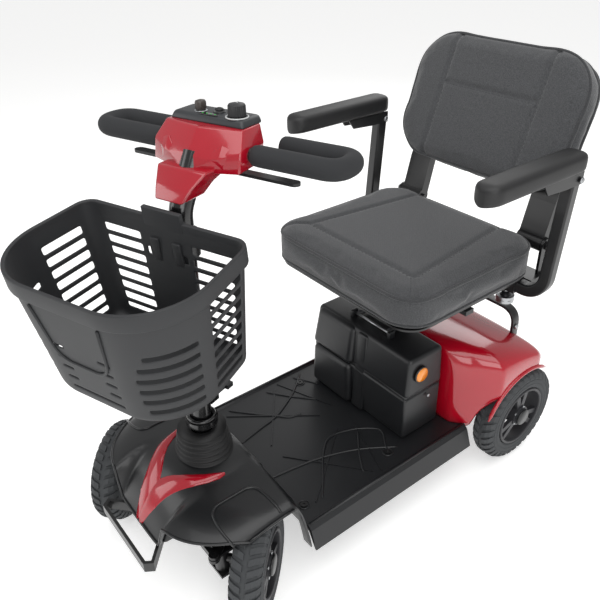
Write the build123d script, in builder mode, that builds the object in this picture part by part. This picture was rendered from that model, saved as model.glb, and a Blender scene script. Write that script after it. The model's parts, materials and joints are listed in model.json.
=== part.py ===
"""Four-wheel mobility scooter with a basket, a tiller and a swivel seat.

Millimetres. +X is the side away from the front-left wheel, -Y is the front, +Z is up.
The origin is on the floor, under the middle of the whole scooter.
The front wheels, the tiller and the basket are built straight and then turned to one side,
the way the scooter stands at rest.
"""
import os
from math import cos, radians, sin, tan

from build123d import *

os.makedirs("parts", exist_ok=True)

# ---- overall stations -------------------------------------------------------
wheelbase = 723.0
rear_axle_y = 381.0
front_axle_y = rear_axle_y - wheelbase
front_wheel_x = 200.0          # middle of the front tyres
rear_wheel_x = 225.0           # middle of the rear tyres
front_wheel_r = 102.0
rear_wheel_r = 114.0
front_tyre_w = 58.0
rear_tyre_w = 52.0
run_fit = 0.05                 # radial clearance of turning and sliding fits
gap = 0.5                      # clearance between parts that pass each other

# ---- steering ---------------------------------------------------------------
tiller_turn = 20.0             # how far the tiller stands turned at rest, degrees
wheel_turn = 2 * tiller_turn   # the linkage turns the wheels twice as far
kingpin_x = 132.0
stem_y = front_axle_y + 58.0
pivot_z = 2 * front_wheel_r + 1.0   # tilt pivot of the tiller
tiller_lean = 1.6              # rearward lean of the tiller, degrees
knuckle_arm = 34.0
stem_arm = 1.93 * knuckle_arm  # twice the knuckle arm, less the arc error
link_pin_r = 4.0
kingpin_r = 7.0
stem_r = 13.0
column_r = 19.0

# ---- body -------------------------------------------------------------------
deck_top = front_wheel_r + 24.0
deck_half_w = 194.0
deck_front_y = front_axle_y + 152.0
deck_rear_y = 248.0
deck_t = 4.0
skirt_x = 220.0
skirt_z = 82.0
shroud_top = 2 * front_wheel_r + 26.0
shroud_front_y = front_axle_y - 90.0
shroud_half_w = 206.0
shroud_t = 4.0
hump_half_w = 84.0
case_front_y = 106.0
case_rear_y = 214.0
case_half_w = 147.0
case_split_z = 239.0
case_top = 331.0
case_t = 3.0
cover_front_y = case_rear_y + 8.0
cover_rear_y = rear_axle_y + 83.0
cover_half_w = 245.0
cover_top = 2 * rear_wheel_r + 90.0
cover_t = 3.0
arch_clear = 8.0

# ---- seat -------------------------------------------------------------------
post_y = 245.0
post_r = 19.0
seat_base_z = 452.0
seat_half_w = 213.0
seat_front_y = 30.0
seat_rear_y = 412.0
cushion_t = 78.0
pan_t = 4.0
back_hinge_y = 432.0
back_hinge_z = 510.0
back_recline = 22.0
back_half_w = 212.0
back_low = 89.0                # cushion edges above the hinge, along the backrest
back_high = 362.0
back_front = -82.0             # cushion front and rear faces, ahead of the hinge
back_rear = -24.0
shell_t = 6.0
arm_x = 252.0
arm_y = 369.0
arm_tube = 25.0
arm_wall = 2.5
arm_lean = 5.0
arm_hinge_z = 682.0
pad_w = 55.0
pad_len = 277.0
pad_h = 38.0


def write(part, label):
    """Label a finished piece and write it to its own file."""
    part.label = label
    export_step(part, f"parts/{label}.step")


def turned(x, y, angle, about_x=0.0, about_y=0.0):
    """The place of (x, y), given from a vertical axis, once it has turned by angle."""
    c, s = cos(radians(angle)), sin(radians(angle))
    return about_x + x * c - y * s, about_y + x * s + y * c


# The steering stem turns; the tiller also leans back about the tilt pivot.
stem_place = Location((0, stem_y, 0), (0, 0, tiller_turn))
tiller_place = (
    Location((0, stem_y, pivot_z), (0, 0, tiller_turn))
    * Location((0, 0, 0), (-tiller_lean, 0, 0))
    * Location((0, 0, -pivot_z))
)
back_place = Location((0, back_hinge_y, back_hinge_z), (-back_recline, 0, 0))

# ---- frames -----------------------------------------------------------------
rail_x = 52.0
rail_w = 24.0
rail_h = 26.0
rail_top = deck_top - deck_t - 12.0
beam_w = 30.0
yoke_gap = 53.0
yoke_plate = 6.0
yoke_reach = 20.0
head_r = 21.0
beam_z = front_wheel_r
head_top = beam_z + 48.0
joint_y = 60.0                 # where the front frame meets the rear frame

with BuildPart() as front_frame:
    with Locations((-rail_x, (stem_y + joint_y) / 2, rail_top - rail_h / 2),
                   (rail_x, (stem_y + joint_y) / 2, rail_top - rail_h / 2)):
        Box(rail_w, joint_y - stem_y, rail_h)
    with Locations((0, stem_y, rail_top - rail_h / 2), (0, joint_y - beam_w, rail_top - rail_h / 2)):
        Box(2 * rail_x + rail_w, beam_w, rail_h)
    with Locations((0, front_axle_y, beam_z)):
        Box(2 * (kingpin_x - yoke_reach), beam_w, rail_h)
    with Locations((0, (front_axle_y + stem_y) / 2, beam_z)):
        Box(rail_w * 2, stem_y - front_axle_y, rail_h - 4)
    with Locations((0, stem_y, (beam_z - rail_h / 2 + head_top) / 2)):
        Cylinder(head_r, head_top - beam_z + rail_h / 2)
    for side in (-1, 1):
        with Locations((side * (kingpin_x - yoke_reach), front_axle_y, beam_z)):
            Box(8, beam_w, yoke_gap + 2 * yoke_plate)
        for up in (-1, 1):
            with Locations((side * (kingpin_x - 2), front_axle_y,
                            beam_z + up * (yoke_gap + yoke_plate) / 2)):
                Box(2 * yoke_reach + 4, beam_w, yoke_plate)
        with Locations((side * kingpin_x, front_axle_y, beam_z)):
            Cylinder(kingpin_r + run_fit, yoke_gap + 4 * yoke_plate, mode=Mode.SUBTRACT)
    with Locations((0, stem_y, head_top / 2)):
        Cylinder(stem_r + run_fit, head_top + 60, mode=Mode.SUBTRACT)
write(front_frame.part, "front_frame")

post_socket_r = post_r + 4.0
socket_top = 372.0
socket_low = deck_top - 30.0
axle_r = 8.0
axle_tube_r = 22.0
gearbox_r = 46.0
rail_end_y = rear_axle_y - axle_tube_r + 8.0
with BuildPart() as rear_frame:
    with Locations((-rail_x, (joint_y + rail_end_y) / 2, rail_top - rail_h / 2),
                   (rail_x, (joint_y + rail_end_y) / 2, rail_top - rail_h / 2)):
        Box(rail_w, rail_end_y - joint_y, rail_h)
    with Locations((0, post_y, rail_top - rail_h / 2), (0, joint_y + beam_w, rail_top - rail_h / 2)):
        Box(2 * rail_x + rail_w, 2 * post_socket_r, rail_h)
    with Locations((0, post_y, (socket_low + socket_top) / 2)):
        Cylinder(post_socket_r, socket_top - socket_low)
    with Locations((0, post_y, socket_top)):
        Cylinder(post_r + run_fit, 2 * (socket_top - socket_low - 6), mode=Mode.SUBTRACT)
write(rear_frame.part, "rear_frame")

# ---- floor pan --------------------------------------------------------------
lip = 5.0
skirt_points = [
    (deck_half_w - 6, deck_top), (deck_half_w + 2, deck_top + lip), (deck_half_w + 12, deck_top - 4),
    (skirt_x, skirt_z), (skirt_x - deck_t, skirt_z), (deck_half_w + 4, deck_top - 10),
    (deck_half_w - 6, deck_top - deck_t),
]
pan_outline = skirt_points + [(-x, z) for x, z in reversed(skirt_points)]
rib_h = 2.0
rib_w = 3.0
screw_r = 9.0
tray_t = 3.0
case_low = deck_top + rib_h + tray_t + gap
case_len = case_rear_y - case_front_y
case_y = (case_front_y + case_rear_y) / 2
deck_screw_xy = [(x, y) for x in (-150, 150) for y in (deck_front_y + 26, 60)]
with BuildPart() as deck_pan:
    with BuildSketch(Plane.XZ.offset(-deck_rear_y)):
        with BuildLine():
            Polyline(*pan_outline, close=True)
        make_face()
    extrude(amount=deck_rear_y - deck_front_y)
    with BuildSketch(Plane.XY.offset(deck_top)):
        for side in (-1, 1):
            with Locations((side * 95, -60)):
                Rectangle(rib_w, 210, rotation=side * 38)
                Rectangle(rib_w, 190, rotation=side * -52)
            with Locations((side * 110, 40)):
                Rectangle(rib_w, 150, rotation=side * 70)
    extrude(amount=rib_h)
    with Locations(*[(x, y, deck_top + lip) for x, y in deck_screw_xy]):
        Cylinder(3.2, 40, mode=Mode.SUBTRACT)
    # the battery stands in a shallow raised tray
    with Locations((0, case_y, deck_top + (rib_h + tray_t) / 2)):
        Box(2 * case_half_w - 20, case_len - 16, rib_h + tray_t)
    # the pan is cut away where the seat post socket stands
    with Locations((0, post_y + 30, deck_top)):
        Box(2 * post_socket_r + 8, 2 * post_socket_r + 68, 40, mode=Mode.SUBTRACT)
write(deck_pan.part, "deck_pan")

with BuildPart() as deck_screws:
    for x, y in deck_screw_xy:
        with BuildSketch(Plane.XY.offset(deck_top)):
            with Locations((x, y)):
                Circle(screw_r - 2)
        extrude(amount=3)
        with Locations((x, y, deck_top - 9)):
            Cylinder(3, 18)
        with Locations((x, y, deck_top + 3)):
            Cylinder(2.5, 3, mode=Mode.SUBTRACT)
write(deck_screws.part, "deck_screws")

# ---- front shroud, with its two mudguards -----------------------------------
well_z = front_wheel_r * 2 + 7.0
nose_low = front_wheel_r + 40.0
bellows_r = 60.0
with BuildPart() as front_shroud:
    with BuildSketch(Plane.XY.offset(well_z)):
        with BuildLine():
            Polyline(
                (-hump_half_w, shroud_front_y), (hump_half_w, shroud_front_y),
                (shroud_half_w - 40, shroud_front_y + 42), (shroud_half_w, shroud_front_y + 110),
                (shroud_half_w, deck_front_y), (-shroud_half_w, deck_front_y),
                (-shroud_half_w, shroud_front_y + 110), (40 - shroud_half_w, shroud_front_y + 42),
                close=True)
        make_face()
    extrude(amount=shroud_top - well_z)
    fillet(front_shroud.faces().sort_by(Axis.Z)[-1].edges(), 9)
    # the nose between the wheels, open below
    with BuildSketch(Plane.XY.offset(rail_top + 4)):
        with Locations((0, (shroud_front_y + deck_front_y) / 2)):
            Rectangle(2 * hump_half_w, deck_front_y - shroud_front_y)
    extrude(amount=well_z - rail_top)
    # the wall behind the wheels
    with BuildSketch(Plane.XY.offset(skirt_z + 4)):
        with Locations((0, deck_front_y - shroud_t / 2)):
            Rectangle(2 * shroud_half_w, shroud_t)
    extrude(amount=well_z - skirt_z)
    with Locations((0, (shroud_front_y + deck_front_y) / 2, shroud_top / 2 - 30)):
        Box(2 * (hump_half_w - shroud_t), deck_front_y - shroud_front_y - 2 * shroud_t,
            shroud_top + 66 - shroud_t * 2, mode=Mode.SUBTRACT)
    with Locations((0, stem_y, shroud_top)):
        Cylinder(bellows_r - 10, 60, mode=Mode.SUBTRACT)
    with Locations((0, deck_front_y - shroud_t, rail_top / 2 + 10)):
        Box(2 * hump_half_w - 2 * shroud_t, 30, rail_top + 24, mode=Mode.SUBTRACT)
    # openings for the bumper's arms, the axle beam and the tie rod
    with Locations((0, shroud_front_y, (rail_top + nose_low) / 2)):
        Box(2 * hump_half_w, 20, nose_low - rail_top, mode=Mode.SUBTRACT)
    with Locations((0, front_axle_y - 10, rail_top)):
        Box(4 * hump_half_w, 130, 120, mode=Mode.SUBTRACT)
write(front_shroud.part, "front_shroud")

accent_t = 3.0
with BuildPart() as shroud_accent:
    with BuildSketch(Plane.XZ.offset(-shroud_front_y)):
        with BuildLine():
            Polyline((-18, nose_low), (18, nose_low), (34, 190), (70, shroud_top), (48, shroud_top),
                     (0, 196), (-48, shroud_top), (-70, shroud_top), (-34, 190), close=True)
        make_face()
    extrude(amount=accent_t)
write(shroud_accent.part, "shroud_accent")

bumper_z = front_wheel_r + 25.0
bumper_half_w = 91.0
bumper_y = shroud_front_y - 36.0
bumper_t = 6.0
bumper_h = 22.0
with BuildPart() as front_bumper:
    with BuildSketch(Plane.XY.offset(bumper_z - bumper_h / 2)):
        with BuildLine():
            Polyline((-36, front_axle_y - beam_w / 2), (-36, shroud_front_y + 26),
                     (-bumper_half_w, bumper_y + 12), (-bumper_half_w + 8, bumper_y),
                     (bumper_half_w - 8, bumper_y), (bumper_half_w, bumper_y + 12),
                     (36, shroud_front_y + 26), (36, front_axle_y - beam_w / 2))
        trace(line_width=bumper_t)
    extrude(amount=bumper_h)
write(front_bumper.part, "front_bumper")

# ---- steering linkage -------------------------------------------------------
link_z = head_top - 7.5        # under face of the tie rod's eyes
link_t = 7.0
arm_plate = 6.0
stem_arm_z = head_top + gap
yoke_top = beam_z + yoke_gap / 2 + yoke_plate
with BuildPart() as steering_stem:
    with Locations((0, 0, (head_top + pivot_z - 24) / 2 - 26)):
        Cylinder(stem_r, pivot_z - 24 - head_top + 52 + 2)
    with BuildSketch(Plane.XY.offset(stem_arm_z)):
        with Locations((0, -stem_arm / 2)):
            SlotCenterToCenter(stem_arm, 26, rotation=90)
    extrude(amount=arm_plate)
    with Locations((0, -stem_arm, stem_arm_z - link_t / 2)):
        Cylinder(link_pin_r, link_t + 2)
    with Locations((0, 0, pivot_z - 24)):
        Box(2 * column_r + 12, 34, 8)
    for side in (-1, 1):
        with Locations((side * (column_r + 3), 0, pivot_z - 6)):
            Box(6, 34, 36)
    with Locations((0, 0, pivot_z)):
        Cylinder(6 + run_fit, 70, rotation=(0, 90, 0), mode=Mode.SUBTRACT)
write(steering_stem.part.moved(stem_place), "steering_stem")

knuckle_r = 14.0
wheel_offset = front_wheel_x - kingpin_x
stub_r = 8.0
hub_w = 46.0
arm_z = yoke_top + gap
for name, side in (("left", -1), ("right", 1)):
    with BuildPart() as knuckle:
        with Locations((0, 0, beam_z)):
            Cylinder(knuckle_r, yoke_gap - 2 * gap)
            Cylinder(kingpin_r, yoke_gap + 2 * yoke_plate + 2 * gap)
        with Locations((0, 0, beam_z - (yoke_gap / 2 + yoke_plate + gap + 3))):
            Cylinder(kingpin_r + 3, 6)
        with Locations((side * (wheel_offset + hub_w / 2) / 2, 0, beam_z)):
            Cylinder(stub_r, wheel_offset + hub_w / 2, rotation=(0, 90, 0))
        with BuildSketch(Plane.XY.offset(arm_z)):
            with Locations((0, -knuckle_arm / 2)):
                SlotCenterToCenter(knuckle_arm, 20, rotation=90)
        extrude(amount=link_z - gap - arm_z)
        with Locations((0, -knuckle_arm, link_z - gap)):
            Cylinder(link_pin_r, 2 * (link_t + gap))
    place = Location((side * kingpin_x, front_axle_y, 0), (0, 0, wheel_turn))
    write(knuckle.part.moved(place), f"knuckle_{name}")

# The tie rod keeps square to the scooter; only its place follows the knuckle arms.
rod_shift_x, rod_y = turned(0, -knuckle_arm, wheel_turn, 0, front_axle_y)
pin_x, pin_y = turned(0, -stem_arm, tiller_turn, 0, stem_y)
slot_play = 1.6
rod_r = 5.0
with BuildPart() as tie_rod:
    with Locations((rod_shift_x, rod_y, link_z + link_t / 2)):
        Box(2 * kingpin_x, 2 * rod_r, link_t)
        with Locations((-kingpin_x, 0), (kingpin_x, 0)):
            Cylinder(link_pin_r + 5, link_t)
            Cylinder(link_pin_r + 0.3, link_t + 2, mode=Mode.SUBTRACT)
    with Locations((rod_shift_x, (rod_y + pin_y) / 2 + 4, link_z + link_t / 2)):
        Box(34, pin_y - rod_y + 24, link_t)
    with Locations((rod_shift_x, pin_y + 1, link_z + link_t / 2)):
        Box(2 * (link_pin_r + slot_play), 2 * link_pin_r + 9, link_t + 2, mode=Mode.SUBTRACT)
write(tie_rod.part, "tie_rod")

# ---- wheels -----------------------------------------------------------------
rim_share = 0.62               # tyre seat over tyre radius
cap_r = 20.0
cap_t = 4.0


def make_tyre(r, w, x):
    """A solid tyre on the X axis, its middle at x, with lugs across each shoulder."""
    seat_r = r * rim_share
    with BuildPart() as tyre:
        with BuildSketch(Plane.XZ) as section:
            with Locations((x, (r + seat_r) / 2)):
                Rectangle(w, r - seat_r)
            fillet(section.vertices().group_by(Axis.Y)[-1], w * 0.24)
        revolve(axis=Axis.X)
    return tyre.part


def make_rim(r, w, x, bore_r, outboard):
    """A moulded rim on the X axis: a barrel, a hub and three pairs of spokes."""
    seat_r = r * rim_share
    spoke_x = x + outboard * (w / 2 - 10)
    with BuildPart() as rim:
        with Locations(Plane((x, 0, 0), z_dir=(1, 0, 0))):
            Cylinder(seat_r, w - 6)
            Cylinder(seat_r - 6, w - 6, mode=Mode.SUBTRACT)
            Cylinder(24, hub_w)
        with Locations(Plane((spoke_x, 0, 0), z_dir=(1, 0, 0))):
            for turn in range(3):
                with PolarLocations(seat_r / 2, 2, start_angle=120 * turn - 13, angular_range=26,
                                    endpoint=True):
                    Box(seat_r - 5, 12, 8)
        with Locations(Plane((x, 0, 0), z_dir=(1, 0, 0))):
            Cylinder(bore_r, w + hub_w, mode=Mode.SUBTRACT)
        with Locations(Plane((x + outboard * (hub_w / 2 + gap + cap_t / 2), 0, 0), z_dir=(1, 0, 0))):
            Cylinder(cap_r, cap_t)
        with Locations(Plane((x + outboard * (hub_w / 2 + gap / 2), 0, 0), z_dir=(1, 0, 0))):
            Cylinder(cap_r, gap)
            Cylinder(bore_r, gap, mode=Mode.SUBTRACT)
    return rim.part


for name, side in (("left", -1), ("right", 1)):
    place = Location((side * kingpin_x, front_axle_y, front_wheel_r), (0, 0, wheel_turn))
    tyre = make_tyre(front_wheel_r, front_tyre_w, side * wheel_offset)
    write(tyre.moved(place), f"front_tyre_{name}")
    rim = make_rim(front_wheel_r, front_tyre_w, side * wheel_offset, stub_r + run_fit, side)
    write(rim.moved(place), f"front_rim_{name}")

rear_hub_in = rear_wheel_x - hub_w / 2
for name, side in (("left", -1), ("right", 1)):
    place = Location((0, rear_axle_y, rear_wheel_r))
    write(make_tyre(rear_wheel_r, rear_tyre_w, side * rear_wheel_x).moved(place), f"rear_tyre_{name}")
    with BuildPart() as rear_rim:
        add(make_rim(rear_wheel_r, rear_tyre_w, side * rear_wheel_x, axle_r, side))
        with Locations(Plane((side * (rear_hub_in + hub_w + 40) / 2, 0, 0), z_dir=(1, 0, 0))):
            Cylinder(axle_r, rear_hub_in + hub_w - 40)
    write(rear_rim.part.moved(place), f"rear_rim_{name}")

# ---- drive: one motor, a transaxle, a controller ----------------------------
axle_tube_end = rear_wheel_x - rear_tyre_w / 2 - 12
with BuildPart() as transaxle:
    with Locations((0, rear_axle_y, rear_wheel_r)):
        Cylinder(axle_tube_r, 2 * axle_tube_end, rotation=(0, 90, 0))
        Cylinder(gearbox_r, 62, rotation=(0, 90, 0))
    for side in (-1, 1):
        with Locations((side * (axle_tube_end + 20) / 2, rear_axle_y, rear_wheel_r)):
            Cylinder(axle_r + run_fit, axle_tube_end - 16, rotation=(0, 90, 0), mode=Mode.SUBTRACT)
    for side in (-1, 1):
        with Locations((side * rail_x, rear_axle_y, rail_top - rail_h / 2)):
            Box(rail_w + 0.6, 400, rail_h + 0.6, mode=Mode.SUBTRACT)
write(transaxle.part, "transaxle")

motor_r = 36.0
motor_len = 110.0
motor_z = rear_wheel_r + gearbox_r + motor_r - 8
with BuildPart() as drive_motor:
    with Locations((0, rear_axle_y + 6, motor_z)):
        Cylinder(motor_r, motor_len, rotation=(0, 90, 0))
        with Locations((-motor_len / 2 - 12, 0, 0)):
            Cylinder(motor_r - 8, 24, rotation=(0, 90, 0))
        with Locations((motor_len / 2 + 6, 0, 0)):
            Cylinder(4, 14, rotation=(0, 90, 0))
    with Locations((0, rear_axle_y, rear_wheel_r)):
        Cylinder(gearbox_r, motor_len + 40, rotation=(0, 90, 0), mode=Mode.SUBTRACT)
write(drive_motor.part, "drive_motor")

with BuildPart() as controller:
    with Locations((0, post_y + post_socket_r + 34, deck_top + 60)):
        Box(120, 50, 70)
    fillet(controller.edges().filter_by(Axis.Z), 6)
write(controller.part, "controller")

# The freewheel lever lifts the brake off the motor shaft.
lever_x = motor_len / 2 + 6
lever_pivot_y = rear_axle_y + 6
lever_tip_y = cover_rear_y + 18.0
with BuildPart() as freewheel_lever:
    with Locations((lever_x, lever_pivot_y, motor_z)):
        Cylinder(12, 6, rotation=(0, 90, 0))
    with Locations((lever_x, (lever_pivot_y + lever_tip_y) / 2, motor_z)):
        Box(6, lever_tip_y - lever_pivot_y, 12)
    with Locations((lever_x, lever_tip_y, motor_z)):
        Cylinder(9, 14, rotation=(0, 90, 0))
    with Locations((lever_x, lever_pivot_y, motor_z)):
        Cylinder(4 + run_fit, 10, rotation=(0, 90, 0), mode=Mode.SUBTRACT)
write(freewheel_lever.part, "freewheel_lever")

tip_r = 22.0
tip_w = 14.0
tip_y = cover_rear_y - 6.0
tip_z = 44.0
tip_pin_r = 4.0
with BuildPart() as anti_tip_arms:
    for side in (-1, 1):
        with BuildSketch(Plane.YZ.offset(side * rail_x - 4)):
            with BuildLine():
                Polyline((rear_axle_y + 2, rail_top), (rear_axle_y + 2, rail_top - rail_h),
                         (tip_y - 6, tip_z - 8), (tip_y + 8, tip_z - 8), (tip_y + 8, tip_z + 10),
                         (rear_axle_y + 40, rail_top), close=True)
            make_face()
        extrude(amount=8)
    with Locations((0, rear_axle_y, rear_wheel_r)):
        Cylinder(axle_tube_r, 4 * rail_x, rotation=(0, 90, 0), mode=Mode.SUBTRACT)
    with Locations((0, tip_y, tip_z)):
        Cylinder(tip_pin_r + run_fit, 4 * rail_x, rotation=(0, 90, 0), mode=Mode.SUBTRACT)
write(anti_tip_arms.part, "anti_tip_arms")

with BuildPart() as anti_tip_wheels:
    with Locations((0, tip_y, tip_z)):
        Cylinder(tip_pin_r, 2 * rail_x + 2 * tip_w + 12, rotation=(0, 90, 0))
        with Locations((-rail_x - 5 - tip_w / 2, 0, 0), (rail_x + 5 + tip_w / 2, 0, 0)):
            Cylinder(tip_r, tip_w, rotation=(0, 90, 0))
write(anti_tip_wheels.part, "anti_tip_wheels")

# ---- rear cover with its two mudguards --------------------------------------
arch_r = rear_wheel_r + arch_clear
well_x = rear_wheel_x - rear_tyre_w / 2 - 10
fender_low = rail_top + 2


def cover_block(inset):
    """The cover's outer shape, drawn in by inset on every side."""
    front, rear, top = cover_front_y + inset, cover_rear_y - inset, cover_top - inset
    side = cover_half_w - inset
    low = fender_low - (10 if inset else 0)
    with BuildPart() as block:
        with BuildSketch(Plane.YZ.offset(-side)):
            with BuildLine():
                Polyline((front + 40, low), (front, cover_top - 110), (front, top),
                         (front + 60, top - 4), (rear - 40, top - 52), (rear, top - 104),
                         (rear, low + 40), close=True)
            make_face()
        extrude(amount=2 * side)
        with BuildSketch(Plane.XY.offset(low)):
            with BuildLine():
                Polyline((-case_half_w - 6 + inset, front), (case_half_w + 6 - inset, front),
                         (side, front + 80), (side, rear - 36), (side - 36, rear),
                         (36 - side, rear), (-side, rear - 36), (-side, front + 80), close=True)
            make_face()
        extrude(amount=cover_top, mode=Mode.INTERSECT)
    return block.part


with BuildPart() as rear_cover:
    add(cover_block(0))
    add(cover_block(cover_t), mode=Mode.SUBTRACT)
    with Locations((0, rear_axle_y, rear_wheel_r)):
        for side in (-1, 1):
            with Locations((side * (well_x + cover_half_w) / 2, 0, 0)):
                Cylinder(arch_r, cover_half_w - well_x + 2, rotation=(0, 90, 0), mode=Mode.SUBTRACT)
    # openings in the front wall for the rails and the seat post socket
    with Locations((0, cover_front_y + 20, (fender_low + cover_top - 40) / 2)):
        Box(2 * (rail_x + rail_w), 64, cover_top - fender_low, mode=Mode.SUBTRACT)
    with Locations((0, post_y, cover_top)):
        Cylinder(post_socket_r + 2, 80, mode=Mode.SUBTRACT)
    # raised seats of the rear reflectors
    for side in (-1, 1):
        with Locations((side * 150, cover_rear_y + 2, cover_top - 130)):
            Box(64, 4, 24)
    # slot for the freewheel lever
    with Locations((lever_x, cover_rear_y, motor_z - 14)):
        Box(16, 30, 60, mode=Mode.SUBTRACT)
write(rear_cover.part, "rear_cover")

bar_w = 22.0
bar_t = 6.0
bar_half = 165.0
bar_y = cover_rear_y - 36.0
bar_z = cover_top + 18.0
bar_foot_z = cover_top - 40.0
with BuildPart() as grab_handle:
    with BuildSketch(Plane.XZ.offset(-bar_y - bar_w / 2)):
        with BuildLine():
            FilletPolyline((-bar_half, bar_foot_z), (-bar_half, bar_z), (bar_half, bar_z),
                           (bar_half, bar_foot_z), radius=34)
        trace(line_width=bar_t)
    extrude(amount=bar_w)
    for side in (-1, 1):
        with Locations((side * (bar_half - 10), bar_y - 22, bar_foot_z + 8)):
            Box(26, 66, 4)
write(grab_handle.part, "grab_handle")

lens_r = 18.0
with BuildPart() as side_reflectors:
    for side in (-1, 1):
        with Locations((side * (case_half_w + 5), case_front_y + 38, case_split_z + 56)):
            Cylinder(lens_r, 6, rotation=(0, 90, 0))
write(side_reflectors.part, "side_reflectors")

# ---- battery ----------------------------------------------------------------
case_r = 16.0
with BuildPart() as battery_case:
    with BuildSketch(Plane.XY.offset(case_low)):
        with Locations((0, case_y)):
            RectangleRounded(2 * case_half_w, case_len, case_r)
    extrude(amount=case_split_z - case_low)
    offset(amount=-case_t, openings=battery_case.faces().sort_by(Axis.Z)[-1:])
write(battery_case.part, "battery_case")

socket_bore_r = 8.0
socket_depth = 12.0
ring_t = 3.0
socket_x = -case_half_w - 2 - ring_t
socket_y = case_rear_y - 24.0
socket_z = case_split_z + 54.0
grip_half = 50.0
handle_y = case_front_y + 40.0
handle_z = case_top + 9.0
with BuildPart() as battery_lid:
    with BuildSketch(Plane.XY.offset(case_split_z)):
        with Locations((0, case_y)):
            RectangleRounded(2 * case_half_w + 4, case_len, case_r)
    extrude(amount=case_top - case_split_z)
    fillet(battery_lid.faces().sort_by(Axis.Z)[-1].edges(), 10)
    with Locations((0, case_y, case_split_z - case_t)):
        Box(2 * case_half_w - 8, case_len - 12, 2 * (case_top - case_split_z), mode=Mode.SUBTRACT)
    # the charging socket: a ring with a blind bore, in the left end of the lid
    with Locations((socket_x + (socket_depth + 4) / 2, socket_y, socket_z)):
        Cylinder(socket_bore_r + 6, socket_depth + 4, rotation=(0, 90, 0))
    with Locations((socket_x, socket_y, socket_z)):
        Cylinder(socket_bore_r, 2 * socket_depth, rotation=(0, 90, 0), mode=Mode.SUBTRACT)
    # lugs and the pin of the lifting handle
    with Locations((-grip_half - 7, handle_y, case_top + 8), (grip_half + 7, handle_y, case_top + 8)):
        Box(8, 18, 16)
    with Locations((0, handle_y, handle_z)):
        Cylinder(3, 2 * grip_half + 16, rotation=(0, 90, 0))
write(battery_lid.part, "battery_lid")

cell_w = case_half_w - 27.0
with BuildPart() as battery_cells:
    for side in (-1, 1):
        with Locations((side * (cell_w / 2 + 5), case_y, case_low + case_t + 50)):
            Box(cell_w, case_len - 22, 100)
write(battery_cells.part, "battery_cells")

with BuildPart() as battery_handle:
    with BuildSketch(Plane.XY.offset(handle_z - 6)):
        with BuildLine():
            FilletPolyline((-grip_half + 4, handle_y), (-grip_half + 4, handle_y + 44),
                           (grip_half - 4, handle_y + 44), (grip_half - 4, handle_y), radius=14)
        trace(line_width=8)
    extrude(amount=12)
    with Locations((0, handle_y, handle_z)):
        Cylinder(3 + run_fit, 2 * grip_half + 20, rotation=(0, 90, 0), mode=Mode.SUBTRACT)
write(battery_handle.part, "battery_handle")

# ---- tiller (built upright about the stem, heights from the floor) ----------
column_top = 742.0
head_y = 92.0                  # middle of the console, behind the stem
body_low = 776.0
body_high = 838.0
body_w = 168.0
column_path_y = 46.0
ring_count = 5
bellows_top = shroud_top + 62.0
bellows_top_r = 48.0
bellows_t = 3.0
with BuildPart() as bellows:
    with BuildSketch(Plane.XZ):
        with BuildLine():
            outer = []
            steps = 2 * ring_count
            for i in range(steps + 1):
                share = i / steps
                r = bellows_r + (bellows_top_r - bellows_r) * share - (5 if i % 2 else 0)
                outer.append((r, shroud_top + (bellows_top - shroud_top) * share))
            Polyline(*outer, *[(r - bellows_t, z) for r, z in reversed(outer)], close=True)
        make_face()
    revolve(axis=Axis.Z)
write(bellows.part.moved(stem_place), "bellows")

bar_y0 = 78.0
bar_y1 = 138.0
handle_bar_z = 802.0
bar_end_x = 105.0
bar_out_x = 234.0
tube_r = 11.0
foam_r = 17.0
bend_r = 29.0
foam_in_x = body_w / 2 + 3
collar_z = bellows_top + 18.0
lever_z = collar_z + 34.0
lever_y = column_r + 12.0
with BuildPart() as column_tube:
    with BuildLine():
        FilletPolyline((0, 0, pivot_z - 14), (0, 0, column_top - 20), (0, column_path_y, 800),
                       radius=50)
    with BuildSketch(Plane.XY.offset(pivot_z - 14)):
        Circle(column_r)
    sweep()
    with Locations((0, 0, pivot_z)):
        Cylinder(6, 2 * column_r + 24, rotation=(0, 90, 0))
    with Locations((0, 0, collar_z)):
        Cylinder(column_r + 11, 12)
    # lugs and pin of the tilt lever
    with Locations((-12, lever_y - 5, lever_z), (12, lever_y - 5, lever_z)):
        Box(4, 22, 14)
    with Locations((0, lever_y, lever_z)):
        Cylinder(3, 28, rotation=(0, 90, 0))
    # the handlebar is welded through the top of the column
    with BuildLine():
        FilletPolyline(
            (-bar_end_x - 6, bar_y1, handle_bar_z), (-bar_out_x, bar_y1, handle_bar_z),
            (-bar_out_x, bar_y0, handle_bar_z), (bar_out_x, bar_y0, handle_bar_z),
            (bar_out_x, bar_y1, handle_bar_z), (bar_end_x + 6, bar_y1, handle_bar_z), radius=bend_r)
    with BuildSketch(Plane((-bar_end_x - 6, bar_y1, handle_bar_z), z_dir=(-1, 0, 0))):
        Circle(tube_r)
    sweep()
    with Locations((0, (column_path_y + bar_y0) / 2, handle_bar_z)):
        Box(30, bar_y0 - column_path_y + 8, 12)
write(column_tube.part.moved(tiller_place), "column_tube")

with BuildPart() as tilt_lever:
    with Locations((0, lever_y, lever_z)):
        Cylinder(7, 16, rotation=(0, 90, 0))
    with Locations((0, lever_y + 18, lever_z)):
        Box(16, 34, 8)
    with Locations((0, lever_y + 40, lever_z)):
        Box(30, 16, 9)
    with Locations((0, lever_y, lever_z)):
        Cylinder(3 + run_fit, 28, rotation=(0, 90, 0), mode=Mode.SUBTRACT)
write(tilt_lever.part.moved(tiller_place), "tilt_lever")

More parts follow.
